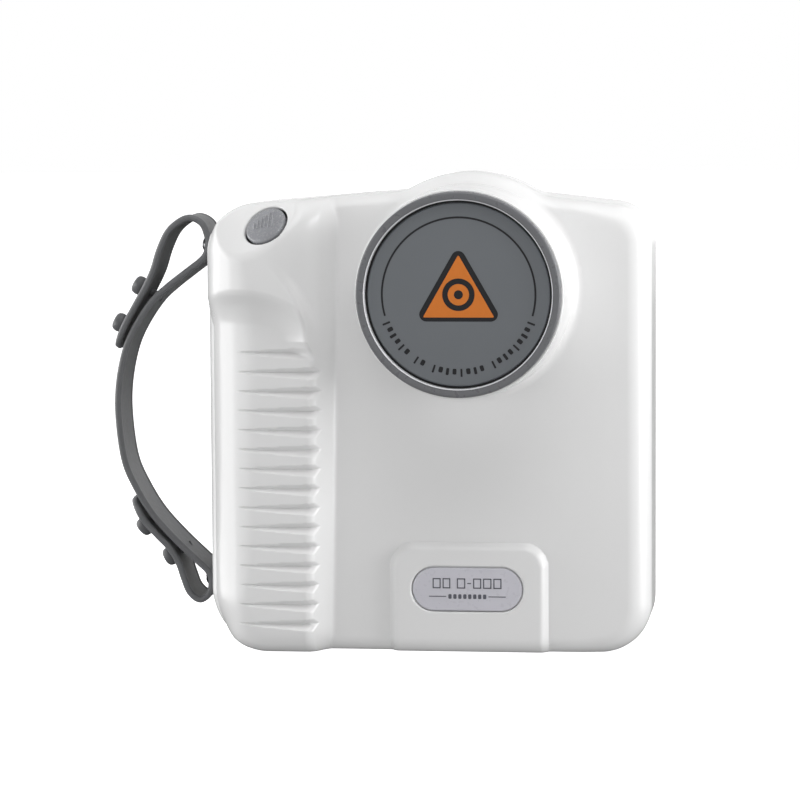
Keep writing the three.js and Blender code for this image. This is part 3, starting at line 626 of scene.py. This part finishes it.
def printed(name, line, front, back):
    """A thin plate of ink between two Y planes."""
    return slab(name, line, front, back, 0.02, 1)


def window_prints():
    """The generic prints on the window: an arc, groups of plain bars and a plain warning-coloured sign."""
    top = DISC_FRONT + 0.01
    face = top - PRINT_THICK
    at = (BEAM_X, BEAM_Z)
    arc = printed("window_arc_print", arc_line(*at, PRINT_R, 0.58, -16, 196), face, top)
    bars = []
    angle = -90 - ((sum(WORDS) - 1) * BAR_TURN + (len(WORDS) - 1) * GROUP_TURN) / 2
    for count in WORDS:
        for k in range(count):
            width, height = BARS[k % 4]
            u, v = polar(PRINT_R - 0.9 + height / 2, angle)
            line = turned_bar(BEAM_X + u, BEAM_Z + v, width, height, angle + 90)
            bars.append(printed("bar", line, face, top))
            angle += BAR_TURN
        angle += GROUP_TURN
    ring = joined("window_bar_print", bars)
    border = printed("sign_border_print", triangle_line(*at, 13.9, 15.8, -8.35, 2.2), face, top)
    fill = printed("sign_fill_print", triangle_line(*at, 11.2, 12.4, -7.1, 0.3), face - 0.05, face + 0.01)
    under = face - 0.04
    front = under - 0.06
    pip = printed("pip", round_line(*at, 1.4, 40), front, under)
    halo = on_beam("halo", [(3.35, under, 0), (3.35, front, 0), (5.05, front, 0), (5.05, under, 0)], 72)
    return arc, ring, border, fill, joined("sign_mark_print", [pip, halo])


# ---- nameplate ----
FRAMES = (2.6, 2.5, 0, 2.7, -1.3, 2.6, 2.7, 2.6)  # widths of open frames; 0 is a gap, below 0 a dash
STROKE, FRAME_HEIGHT = 0.36, 3.3


def nameplate():
    """The plate, and its print: open frames over plain bars between two rules."""
    front = FRONT - PANEL["rise"] + 0.15
    line = rect_line(PLATE["x"], PLATE["z"], PLATE["width"], PLATE["height"], PLATE["height"] / 2 - 0.02, 24)
    plate = slab("nameplate", line, front, front + 1.05, 0.45, 4)
    left, middle, low = PLATE["x"] - 11.2, PLATE["z"] + 1.9, PLATE["z"] - 2.35
    shapes = []
    for width in FRAMES:
        centre = left + abs(width) / 2
        if width > 0:
            for side in (-1, 1):
                shapes += [(centre + side * (width - STROKE) / 2, middle, STROKE, FRAME_HEIGHT, 0.15, 2),
                           (centre, middle + side * (FRAME_HEIGHT - STROKE) / 2, width, STROKE, 0.15, 2)]
        if width < 0:
            shapes.append((centre, middle, -width, STROKE, 0.15, 2))
        left += abs(width) + 0.62 if width else 1.5
    shapes += [(PLATE["x"] + side * 9.6, low, 5.6, 0.28, 0.1, 2) for side in (-1, 1)]
    shapes += [(PLATE["x"] - 5.6 + 1.6 * k, low, 1.05, 1.5, 0.3, 3) for k in range(8)]
    top = front + 0.01
    bars = [printed("bar", rect_line(*shape), top - PRINT_THICK, top) for shape in shapes]
    return plate, joined("nameplate_print", bars)


# ---- exposure button ----
def button_field(x, y, z):
    """Local frame: +Y out of the case, +Z down the slope, +X to the right."""
    radius = hypot(x, z)
    dome = 0.95 - 0.012 * radius * radius
    swell = 0
    for k in range(6):
        along = maximum(np.abs(z - 0.2 + 0.3 * k) - 0.9 - 0.48 * k, 0)
        swell = swell + 0.55 * np.exp(-((x + 3.6 - 1.3 * k) ** 2 + along ** 2) / 0.09)
    cap = meet(radius - BUTTON_R, y - dome - swell, 0.7)
    cap = maximum(cap, -3.2 - y)
    flange = meet(radius - 8.3, np.abs(y + 3.9) - 0.7, 0.25)
    stem = maximum(radius - 2.6, np.abs(y + 6) - 2)
    return minimum(minimum(cap, flange), stem)


def button_frame():
    """Turn from the button's own frame to the world: its columns are right, out, and down the slope."""
    out = Vector(BUTTON_AXIS)
    right = Vector((1, 0, 0))
    right = (right - out * right.dot(out)).normalized()
    return Matrix((right, out, right.cross(out))).transposed().to_4x4()


def trigger_button():
    side = spans((-8.7, 8.7, 0.16))
    height = spans((-8.3, -1, 0.4), (-1, 1.8, 0.12))
    obj = field_object("trigger_button", button_field, side, height, side, 0.8)
    return moved(obj, BUTTON_AT, button_frame())


def trigger_spring():
    """The return spring under the button, a coil of round wire."""
    rings = []
    wire = [polar(WIRE_R, 30 * k) for k in range(12)]
    for part in np.linspace(0, 1, COIL_STEPS + 1):
        c, s = polar(1, 360 * COIL_TURNS * part)
        height = COIL_LOW + COIL_RISE * part
        rings.append([((COIL_R + u) * c, height + v, (COIL_R + u) * s) for u, v in wire])
    return moved(loft("trigger_spring", rings), BUTTON_AT, button_frame())


def button_seal():
    """A thin near-black piece in the gap round the button, fixed to the case: painted shade for the dark gap.
    """
    inner, outer = BUTTON_R + 0.12, BUTTON_HOLE - 0.03
    profile = [(inner, -1.6, 0), (inner, -1.1, 0), (outer, -1.1, 0), (outer, -1.6, 0)]
    return moved(turned("button_seal", profile, 80, closed=True), BUTTON_AT, button_frame())


# ---- strap ----
# The band's centre line in (x, z), as in the CAD model: upper tail, upper loop, run, lower loop, tail.
STRAP_LINE = [
    (-104.9, 96.8), (-101.8, 104.2), (-98, 111), (-94.6, 117), (-91.9, 122.6), (-89.6, 129.6), (-86.2, 136),
    (-80.4, 139.8), (-75.7, 138.2), (-73.8, 134), (-73.6, 130.2), (-75.2, 126.6), (-80.8, 122.2),
    (-87.2, 117.3), (-92.4, 112.5), (-97.8, 104.6), (-101.4, 96.6), (-103.7, 85.5), (-104, 74.5),
    (-102.2, 60.5), (-98.4, 51.4), (-93, 42.6), (-85.8, 34.6), (-78.2, 27.4), (-74.7, 24), (-73.6, 20.6),
    (-74.4, 16.6), (-77.6, 14.5), (-80.9, 17), (-82.8, 21.6), (-84.6, 26.8), (-87.7, 31.8), (-91.6, 35.8),
    (-96.2, 41), (-100.1, 48),
]
STRAP_FRONT, STRAP_BACK, STRAP_THICK = -16.0, 4.0, 2.1
STRAP_MIDDLE = (STRAP_FRONT + STRAP_BACK) / 2
STRAP_CORNER = 7.0  # radius of the corners at the band's ends
STRAP_SCREWS = {"strap_screw_top": 130.8, "strap_screw_bottom": 20.8}
STUDS = [((-95.3, 115.7), (-0.87, 0.49), 5.1), ((-101.9, 103.7), (-0.9, 0.43), 3.4),
         ((-94.9, 39.7), (-0.76, -0.65), 3.2), ((-86, 29.4), (-0.87, -0.49), 4.6)]


def smooth_line(points, count):
    """A smoothed Catmull-Rom line through the points, at even steps of length."""
    p = np.array(points, float)
    p = np.vstack([2 * p[0] - p[1], p, 2 * p[-1] - p[-2]])
    dense = []
    for i in range(1, len(p) - 2):
        for t in np.linspace(0, 1, 24, endpoint=False):
            a, b, c, d = p[i - 1], p[i], p[i + 1], p[i + 2]
            dense.append(0.5 * (2 * b + (c - a) * t + (2 * a - 5 * b + 4 * c - d) * t * t
                                + (3 * b - a - 3 * c + d) * t ** 3))
    dense = np.array(dense + [p[-2]])
    for _ in range(12):
        dense[1:-1] = 0.25 * dense[:-2] + 0.5 * dense[1:-1] + 0.25 * dense[2:]
    length = np.concatenate([[0], np.cumsum(np.linalg.norm(np.diff(dense, axis=0), axis=1))])
    even = np.linspace(0, length[-1], count)
    return np.stack([np.interp(even, length, dense[:, k]) for k in range(2)], 1), even


def band_section(half, thick):
    """Stations across the band: (offset along the width, half thickness) from edge to edge."""
    bead = 0.28  # how much thinner the band is between its beads, as a share
    edge = [(0, 0), (0.12, 0.45), (0.45, 0.8), (0.95, 1), (1.6, 1), (2, 1 - bead), (2.4, 1 - bead)]
    stations = [(w - half, t) for w, t in edge] + [(-half * 0.5, 1 - bead * 0.9), (0, 1 - bead * 0.85)]
    full = stations + [(-w, t) for w, t in reversed(stations[:-1])]
    return [(w, t * thick / 2) for w, t in full]


def strap():
    line, run = smooth_line(STRAP_LINE, 420)
    tangent = unit(np.gradient(line, axis=0))
    across = np.stack([-tangent[:, 1], tangent[:, 0]], 1)
    rings = []
    half_width = (STRAP_BACK - STRAP_FRONT) / 2
    for i, (x, z) in enumerate(line):
        from_end = min(run[i], run[-1] - run[i])
        pull = STRAP_CORNER - math.sqrt(STRAP_CORNER ** 2 - max(STRAP_CORNER - from_end, 0) ** 2)
        thick = STRAP_THICK * math.sqrt(min(1, (from_end + 0.12) / 0.9))
        section = band_section(half_width - pull, thick)
        loop = section + [(w, -t) for w, t in reversed(section[1:-1])]
        rings.append([(x + across[i, 0] * t, STRAP_MIDDLE + w, z + across[i, 1] * t) for w, t in loop])
    return loft("strap", rings, sharp=60)


def strap_stud(index, at, out, span):
    """A mushroom stud: its foot is bonded into the run and its cap holds the tail."""
    face, foot = STRAP_THICK / 2, -span - 0.5
    profile = [
        (0, foot, 0), (1.3, foot, 0.1), (1.3, face + 0.05, 0.3), (2.3, face + 0.15, 0.3),
        (3.05, face + 1.2, 0.7), (3.2, face + 2.6, 0.9), (2.7, face + 4.0, 0.8), (1.4, face + 4.4, 0.9),
        (0, face + 4.4, 0),
    ]
    stud = turned(f"strap_stud_{index}", profile, 40, sharp=80)
    return placed(stud, (at[0], STRAP_MIDDLE, at[1]), (out[0], 0, out[1]))


def cross_recess(u, v, half, arm):
    """A cross of bars of the given half width and arm length."""
    return minimum(maximum(np.abs(u) - half, np.abs(v) - arm), maximum(np.abs(v) - half, np.abs(u) - arm))


def strap_screw(name, height):
    """A small domed cross-head screw with a shoulder."""
    seat = STRAP_THICK / 2 + 1.75

    def field(x, y, z):
        radius = hypot(x, z)
        head = meet(maximum(radius - 2.2, seat - y), hypot(radius, y - seat + 1.2) - 3.5, 0.2)
        cross = maximum(cross_recess(x, z, 0.35, 1.35), seat + 1.1 - y)
        shaft = maximum(radius - 1.45 + 0.12 * np.cos(2 * math.pi * y / 0.7) * (y < 0), -y - 7.8)
        return minimum(carve(head, cross, 0.08), maximum(shaft, y - seat - 0.5))
    side = spans((-2.5, 2.5, 0.12))
    obj = field_object(name, field, side, spans((-8.1, seat + 2.6, 0.15)), side, 0.5)
    return placed(obj, (-HALF, STRAP_MIDDLE, height), (-1, 0, 0))


# ---- rear controls ----
def display_lens():
    line = rect_line(DISPLAY["x"], DISPLAY["z"], DISPLAY["width"], DISPLAY["height"], 3.1)
    return slab("display_lens", line, BACK - 1.2, BACK - 0.08, 0.35)


def display_mask():
    """The dark printed border behind the lens, with a clear window."""
    outer = rect_line(DISPLAY["x"], DISPLAY["z"], DISPLAY["width"] - 0.6, DISPLAY["height"] - 0.6, 2.8)(0)
    inner = rect_line(DISPLAY["x"], DISPLAY["z"], DISPLAY["view_w"] - 1, DISPLAY["view_h"] - 1, 1.2)(0)
    rings = []
    for y, line in ((BACK - 1.24, outer), (BACK - 1.24, inner), (BACK - 1.32, inner), (BACK - 1.32, outer)):
        rings.append([(x, y, z) for x, z in line])
    return loft("display_mask", rings, closed=True)


def screen_marks():
    """Plain generic shapes of the idle screen: two rules, a signal gauge, a battery and three dials."""
    x0, z0 = DISPLAY["x"], DISPLAY["z"]
    face = BACK - 2.45
    shapes = [rect_line(x0, z0 + 12.6, 43, 0.35, 0.15, 2), rect_line(x0, z0 - 12.2, 43, 0.35, 0.15, 2)]
    shapes += [rect_line(x0 + 19.4 - 2.0 * k, z0 + 14.1, 1.4, 0.7 + 0.35 * k, 0.2, 2) for k in range(4)]
    shapes += [rect_line(x0 - 19.2, z0 + 14.1, 4.6, 2.0, 0.5, 3)]
    for side in (-1, 0, 1):
        dial = x0 + 14.5 * side
        shapes += [arc_line(dial, z0 + 1.0, 5.2, 0.7, -40, 220, 32), round_line(dial, z0 + 1.0, 1.3, 24),
                   rect_line(dial, z0 - 8.2, 8.5, 0.9, 0.4, 3)]
    return joined("screen_marks", [printed("mark", shape, face, face + 0.06) for shape in shapes])


def key_piece(name, dx, dz, r):
    def field(x, y, z):
        radius = hypot(x, z)
        top = BACK - 0.1 - 0.35 * ease(-radius, -0.2 * r, 0)
        cap = maximum(meet(radius - r, y - top, 0.55), 28 - y)
        collar = meet(radius - r - 1, np.abs(y - 28.7) - 0.6, 0.2)
        stem = maximum(radius - 2, np.abs(y - 27.8) - 0.8)
        return minimum(minimum(cap, collar), stem)
    side = spans((-r - 1.2, r + 1.2, 0.28))
    obj = field_object(name, field, side, spans((26.8, 30.5, 0.3), (30.5, 32.2, 0.12)), side, 0.5)
    return moved(obj, (KEYPAD_X + dx, 0, KEYPAD_Z + dz))


ARROWS = {"key_up": 90, "key_down": -90, "key_left": 180, "key_right": 0}  # where each one points


def key_icon(name, dx, dz):
    """A simple raised symbol on each key: arrows, a ring with a bar, and a ring with a dot."""
    cx, cz = KEYPAD_X + dx, KEYPAD_Z + dz
    if name in ARROWS:
        angle = ARROWS[name]
        c, s = polar(1, angle)
        lines = [turned_bar(cx + 0.2 * c - 0.85 * side * s, cz + 0.2 * s + 0.85 * side * c, 2.8, 0.6,
                            angle - side * 50) for side in (-1, 1)]
    elif name == "key_power":
        lines = [arc_line(cx, cz, 2.1, 0.55, 120, 420, 40), rect_line(cx, cz + 1.6, 0.55, 2.2, 0.2, 3)]
    else:
        lines = [arc_line(cx, cz, 2.5, 0.6, 0, 359.9, 48), round_line(cx, cz, 0.9, 24)]
    return joined(name + "_icon", [slab("stroke", line, BACK - 0.16, BACK - 0.04, 0.03, 1) for line in lines])


def charge_flap():
    """The soft cover over the charging socket: a plate with a finger lip, a plug and a hinge strip."""
    cx, cz = CHARGE["x"], CHARGE["z"]
    half_h = CHARGE["height"] / 2

    def field(x, y, z):
        body = meet(opening(x, z, CHARGE, 0, 1.7), maximum(y - BACK + 0.1, BACK - 1.3 - y), 0.25)
        lip = hypot(z - cz + half_h - 1.6, y - BACK - 0.9) - 1.25
        body = carve(body, maximum(lip, np.abs(x - cx) - 4.5), 0.25)
        groove = hypot(z - cz - half_h + 1.3, y - BACK + 0.1) - 0.35
        body = carve(body, groove, 0.1)
        plug = meet(hypot(x - cx, z - cz) - 3.0, maximum(BACK - 2.4 - y, y - BACK + 0.6), 0.3)
        return minimum(body, plug)
    return field_object("charge_flap", field, spans((cx - 9, cx + 9, 0.25)), spans((29.2, 32.3, 0.12)),
                        spans((cz - 7, cz + 7, 0.22)), keep=0.5)


def case_screw(index, x, z):
    """A pan-head case screw with a cross recess, deep in its counterbore."""
    def field(u, y, v):
        radius = hypot(u, v)
        head = meet(radius - 2.75, maximum(10.3 - y, y - 12.5), 0.45)
        cross = maximum(cross_recess(u, v, 0.4, 1.6), 11.3 - y)
        thread = 0.18 * np.cos(2 * math.pi * (y / 1.1) + np.arctan2(v, u))
        shaft = all_of(radius - 1.3 + thread * (y < 9), -3.7 - y, y - 10.6)
        return minimum(carve(head, cross, 0.08), shaft)
    side = spans((-3, 3, 0.16))
    obj = field_object(f"case_screw_{index}", field, side, spans((-4.2, 12.9, 0.2)), side, 0.4)
    return moved(obj, (x, 0, z))


# ---- materials ----
def linear(code):
    """A '#rrggbb' screen colour as linear RGBA."""
    parts = [int(code[i:i + 2], 16) / 255 for i in (1, 3, 5)]
    return [p / 12.92 if p <= 0.04045 else ((p + 0.055) / 1.055) ** 2.4 for p in parts] + [1]


class Graph:
    """Adds nodes to a material or a world and links them."""

    def __init__(self, owner, shader="Principled BSDF"):
        owner.use_nodes = True
        self.material = owner
        self.tree = owner.node_tree
        self.shader = self.tree.nodes[shader]

    def put(self, node, inputs):
        """Sets the node's inputs, or links them when the value is another node's output."""
        for key, value in inputs.items():
            if isinstance(value, bpy.types.NodeSocket):
                self.tree.links.new(value, node.inputs[key])
            else:
                node.inputs[key].default_value = value

    def add(self, kind, output, inputs, **settings):
        node = self.tree.nodes.new("ShaderNode" + kind)
        for key, value in settings.items():
            setattr(node, key, value)
        self.put(node, inputs)
        return node.outputs[output]

    def shade(self, inputs):
        self.put(self.shader, inputs)
        return self.material

    def place(self):
        return self.add("TexCoord", "Object", {})

    def noise(self, scale, detail=3.0, rough=0.5, place=None):
        return self.add("TexNoise", "Fac", {"Vector": place or self.place(), "Scale": scale, "Detail": detail,
                                            "Roughness": rough})

    def spread(self, value, low, high, start=0.3, end=0.7):
        """The value's run from start to end, as a run from low to high."""
        return self.add("MapRange", "Result", {"Value": value, "From Min": start, "From Max": end,
                                               "To Min": low, "To Max": high})

    def blend(self, fac, a, b):
        return self.add("Mix", 2, {0: fac, 6: a, 7: b}, data_type="RGBA")

    def bump(self, height, distance, strength=1.0, after=None):
        inputs = {"Height": height, "Distance": distance, "Strength": strength}
        return self.add("Bump", "Normal", inputs | ({"Normal": after} if after else {}))

    def edge_highlight_mask(self):
        """1 on convex edges, 0 elsewhere: the mask of a painted highlight along edges."""
        return self.spread(self.add("NewGeometry", "Pointiness", {}), 0, 1, 0.52, 0.62)


def scaled(colour, share):
    """The linear colour times a share, within 0 to 1."""
    return [min(1, c * share) for c in colour[:3]] + [1]


def finish(name, colour, rough, vary, tone, depth, grain=2600, coat=0.0, metal=0.0, soft_sheen=0.0,
           rough_vary=0.05, edge_highlight=None, **inputs):
    """A moulded, turned or sheet finish: slow tone drift, uneven gloss, and grain depth micrometres deep."""
    g = Graph(bpy.data.materials.new(name))
    base, depth = linear(colour), depth * 1e-6
    tint = g.blend(g.spread(g.noise(tone, 4), 0, 1), scaled(base, 1 - vary), scaled(base, 1 + vary))
    # Painted highlight: convex edges are lightened towards the edge_highlight colour, standing for the light
    # lines the edges catch.
    if edge_highlight:
        tint = g.blend(g.edge_highlight_mask(), tint, linear(edge_highlight))
    gloss = g.spread(g.noise(tone * 5, 5), max(rough - rough_vary, 0.02), rough + rough_vary)
    fine = g.bump(g.noise(grain, 6, 0.6), depth)
    return g.shade({
        "Base Color": tint, "Roughness": gloss, "Normal": g.bump(g.noise(tone * 2, 2), depth * 2, 0.6, fine),
        "Metallic": metal, "Coat Weight": coat, "Coat Roughness": 0.08, "Sheen Weight": soft_sheen,
    } | {key.replace("_", " "): value for key, value in inputs.items()})


def brushed(name, colour, rough, stretch, depth=6):
    """Metal with fine lines along one direction, depth micrometres deep."""
    g = Graph(bpy.data.materials.new(name))
    lines = g.noise(1, 4, 0.6, g.add("Mapping", "Vector", {"Vector": g.place(), "Scale": stretch}))
    base = linear(colour)
    return g.shade({"Base Color": g.blend(g.spread(lines, 0, 1), scaled(base, 0.86), base),
                    "Roughness": g.spread(lines, rough - 0.08, rough + 0.1),
                    "Normal": g.bump(lines, depth * 1e-6), "Metallic": 1.0})


def board_finish():
    """Green board with a web of lighter copper tracks."""
    g = Graph(bpy.data.materials.new("circuit_board"))
    cells = g.add("TexVoronoi", "Distance", {"Vector": g.place(), "Scale": 260}, feature="DISTANCE_TO_EDGE")
    trace = g.spread(cells, 1, 0, 0.02, 0.05)
    return g.shade({"Base Color": g.blend(trace, linear("#1f5b3a"), linear("#5d8c55")),
                    "Roughness": g.spread(g.noise(300), 0.35, 0.55), "Normal": g.bump(trace, 0.00003)})


MATERIALS = {  # name, colour, roughness, tone change, tone scale, grain depth
    "shell": finish("shell_white_gloss", "#ebebeb", 0.24, 0.004, 30, 1.2, grain=3000, coat=0.1,
                    rough_vary=0.02),
    "ring": finish("ring_satin_grey", "#6a6b6e", 0.3, 0.03, 90, 4),
    # A pale colour for the band inside the ring: painted highlight for the glint on its inner edge.
    "rim": finish("rim_bright", "#e4e5e8", 0.2, 0.02, 120, 2),
    # Near-black for the pieces in the gaps round the window disc and the button: painted shade.
    "seal": finish("seal_black", "#08080a", 0.6, 0.1, 300, 4),
    "window": finish("window_slate", "#6b6f73", 0.34, 0.02, 60, 4, grain=4200),
    "ink": finish("ink_dark", "#0c0c11", 0.65, 0.08, 500, 4),
    "ink_grey": finish("ink_grey", "#5c5d66", 0.4, 0.06, 500, 4),
    "orange": finish("ink_orange", "#d5751c", 0.38, 0.03, 300, 4),
    "plate": finish("nameplate_lilac_satin", "#cfced6", 0.3, 0.015, 150, 3, coat=0.2),
    # The button, strap and keys get a painted highlight on their convex edges.
    "button": finish("button_satin_grey", "#929397", 0.26, 0.03, 260, 3, edge_highlight="#c4c5c9"),
    "strap": finish("strap_silicone", "#5e5f61", 0.5, 0.06, 120, 12, grain=1800, soft_sheen=0.15,
                    edge_highlight="#77787a"),
    "chrome": finish("screw_chrome", "#d9dadd", 0.12, 0.02, 300, 2, metal=1.0),
    "steel": brushed("screw_steel", "#a9acb1", 0.34, (900, 900, 60)),
    "brass": brushed("insert_brass", "#b9995a", 0.36, (120, 900, 900)),
    "aluminium": brushed("filter_aluminium", "#bcbfc3", 0.38, (60, 900, 900)),
    "lead": finish("lead_sheet", "#6d7076", 0.55, 0.12, 140, 40, grain=900, metal=0.7),
    "copper": brushed("copper_wound", "#b5673a", 0.4, (80, 80, 2600), 40),
    "glass": finish("tube_glass", "#e8f0f1", 0.06, 0.02, 80, 2, Transmission_Weight=0.85, IOR=1.47),
    "lens": finish("display_lens_clear", "#dfe3e6", 0.05, 0.01, 80, 1.5, Transmission_Weight=1.0, IOR=1.3),
    "mask": finish("display_mask_black", "#15161a", 0.3, 0.1, 200, 3),
    "screen": finish("display_screen", "#1f3a56", 0.25, 0.12, 40, 2),
    "screen_mark": finish("display_marks", "#c4d8e6", 0.35, 0.04, 300, 3, Emission_Color=linear("#9fc4de"),
                          Emission_Strength=0.25),
    "board": board_finish(),
    "dark": finish("dark_plastic", "#26272b", 0.45, 0.12, 200, 10),
    "key": finish("key_silicone", "#8c8d91", 0.48, 0.03, 260, 8, grain=2400, soft_sheen=0.1,
                  edge_highlight="#a3a4a8"),
    "icon": finish("key_print_white", "#e4e5e8", 0.4, 0.02, 600, 4),
    "flap": finish("flap_soft_white", "#dfe0e3", 0.38, 0.02, 160, 6),
    "cell": finish("cell_sleeve_blue", "#2f6fa8", 0.3, 0.06, 90, 6),
}


def paint(obj, material):
    obj.data.materials.clear()
    obj.data.materials.append(MATERIALS[material])


def dress(obj, material, body="root"):
    """Gives a new piece its material and body, and replaces the CAD node it stands in for."""
    paint(obj, material)
    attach(obj, body)
    if obj.name.endswith(STANDS_IN):
        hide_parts(obj.name.removesuffix(STANDS_IN))
    return obj


# ---- the visible pieces ----
for shell in (front_shell(), rear_shell(), cone_tube()):
    dress(shell, "shell")
dress(cone_ring(), "ring")
# The pale band is a painted highlight on the ring's inner edge.
dress(ring_rim(), "rim")
dress(window_disc(), "window")
dress(window_seal(), "seal")
for piece, ink in zip(window_prints(), ("ink", "ink", "ink", "orange", "ink")):
    dress(piece, ink)
for piece, material in zip(nameplate(), ("plate", "ink_grey")):
    dress(piece, material)

dress(trigger_button(), "button", "trigger")
dress(button_seal(), "seal")
spring = dress(trigger_spring(), "steel")
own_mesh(spring)

dress(strap(), "strap")
for index, stud in enumerate(STUDS, 1):
    dress(strap_stud(index, *stud), "strap")
for name, height in STRAP_SCREWS.items():
    dress(strap_screw(name, height), "chrome")

dress(display_lens(), "lens")
dress(display_mask(), "mask")
dress(screen_marks(), "screen_mark")
for name, (dx, dz, r) in KEYS.items():
    body = name.removeprefix("key_") + "_key"
    dress(key_piece(name, dx, dz, r), "key", body)
    dress(key_icon(name, dx, dz), "icon", body)
dress(charge_flap(), "flap", "flap")
for index, place in enumerate(CASE_SCREWS, 1):
    dress(case_screw(index, *place), "steel")

# ---- inner parts keep their CAD shape ----
INNER = {
    "steel": ["bracket_screw_1", "bracket_screw_2", "tank_can", "tank_lid", "tank_bracket", "cathode"],
    "brass": ["strap_insert_top", "strap_insert_bottom"],
    "aluminium": ["beam_filter"],
    "lead": ["cone_liner", "lead_diaphragm", "lead_liner"],
    "copper": ["anode", "hv_transformer", "inverter_coil"],
    "glass": ["tube_glass"],
    "board": ["main_board", "keypad_board", "trigger_switch"],
    "screen": ["lcd_module"],
    "dark": ["charge_socket", "smoothing_capacitor_1", "smoothing_capacitor_2", "buzzer", "battery_tray",
             "tank_seal"],
    "cell": [f"battery_cell_{k}" for k in range(1, 5)],
}
for material, names in INNER.items():
    for name in names:
        paint(frame["nodes"][name], material)


# ---- studio ----
FLOOR_HALF, FLOOR_TOP = 9000, -0.05


def floor():
    """A plain pale floor that is as bright as the background."""
    g = Graph(bpy.data.materials.new("floor_pale"))
    tone = g.blend(g.spread(g.noise(3), 0, 1), (0.86, 0.86, 0.865, 1), (0.88, 0.88, 0.885, 1))
    g.shade({"Base Color": tone, "Roughness": g.spread(g.noise(8), 0.55, 0.65),
             "Emission Color": (1, 1, 1, 1), "Emission Strength": 1.0})
    corners = [(u * FLOOR_HALF, v * FLOOR_HALF, FLOOR_TOP) for u, v in ((-1, -1), (1, -1), (1, 1), (-1, 1))]
    obj = mesh_object("floor", corners, [(0, 1, 2, 3)])
    obj.data.materials.append(g.material)
    obj.visible_diffuse = False
    obj.visible_glossy = False


def direction(turn, rise):
    """Towards a point seen from the middle of the unit: turn degrees right of the front, rise degrees up."""
    out, up = polar(1, rise)
    ahead, right = polar(out, turn)
    return Vector((right, -ahead, up))


def softbox(name, turn, rise, away, width, height, power):
    """A soft lamp in a direction given in degrees, turned towards the middle of the unit."""
    light = bpy.data.lights.new(name, "AREA")
    light.shape = "RECTANGLE"
    light.size, light.size_y = width * MM, height * MM
    light.energy = power
    obj = linked(name, light)
    way = direction(turn, rise)
    obj.location = Vector((0, 0, 0.075)) + away * MM * way
    obj.rotation_euler = (-way).to_track_quat("-Z", "Y").to_euler()


def world():
    """A low white wall all round, brighter above it behind the unit, and a glow from the table in front."""
    surround = bpy.data.worlds.new("studio")
    SCENE.world = surround
    g = Graph(surround, "Background")
    split = g.add("SeparateXYZ", "Y", {0: g.add("TexCoord", "Generated", {})})
    height = split.node.outputs["Z"]
    above = g.spread(split, 0.0, 0.6, -0.1, 0.1)
    below = g.spread(split, 0.58, 0.0, -0.1, 0.1)
    wall = g.spread(height, 1.0, above, 0.12, 0.3)
    g.shade({"Strength": g.spread(height, below, wall, -0.06, -0.02), "Color": (1, 1, 1, 1)})


CAMERA = {"at": (129.71, -1087.77, 172.70), "turn": 7.465, "rise": 4.863, "roll": 0.35, "lens": 150.7}


def camera():
    data = bpy.data.cameras.new("camera")
    data.lens, data.sensor_width = CAMERA["lens"], 36
    data.clip_start, data.clip_end = 0.05, 40
    obj = linked("camera", data)
    back = direction(CAMERA["turn"], CAMERA["rise"])
    right = direction(CAMERA["turn"] + 90, 0)
    up = back.cross(right)
    c, s = polar(1, CAMERA["roll"])
    aim = Matrix((right * c - up * s, up * c + right * s, back)).transposed().to_4x4()
    obj.matrix_world = Matrix.Translation(Vector(CAMERA["at"]) * MM) @ aim
    bpy.context.scene.camera = obj


floor()
world()
LAMPS = {  # direction in degrees, distance and size in mm, power in watts
    "left_side": (-95, 8, 800, 700, 700, 4.0),
    "left_front": (-60, 10, 800, 600, 700, 1.25),
    "high_near": (5, 52, 400, 320, 240, 0.3),
    "right_near": (80, 12, 400, 240, 300, 0.75),
    "right_side": (80, 8, 800, 500, 700, 2.1),
    "overhead": (20, 68, 800, 600, 600, 1.7),
    "top_near": (10, 72, 380, 420, 260, 0.08),
}
for name, lamp in LAMPS.items():
    softbox(name, *lamp)
camera()
SCENE.view_settings.view_transform = "Standard"
SCENE.view_settings.look = "None"
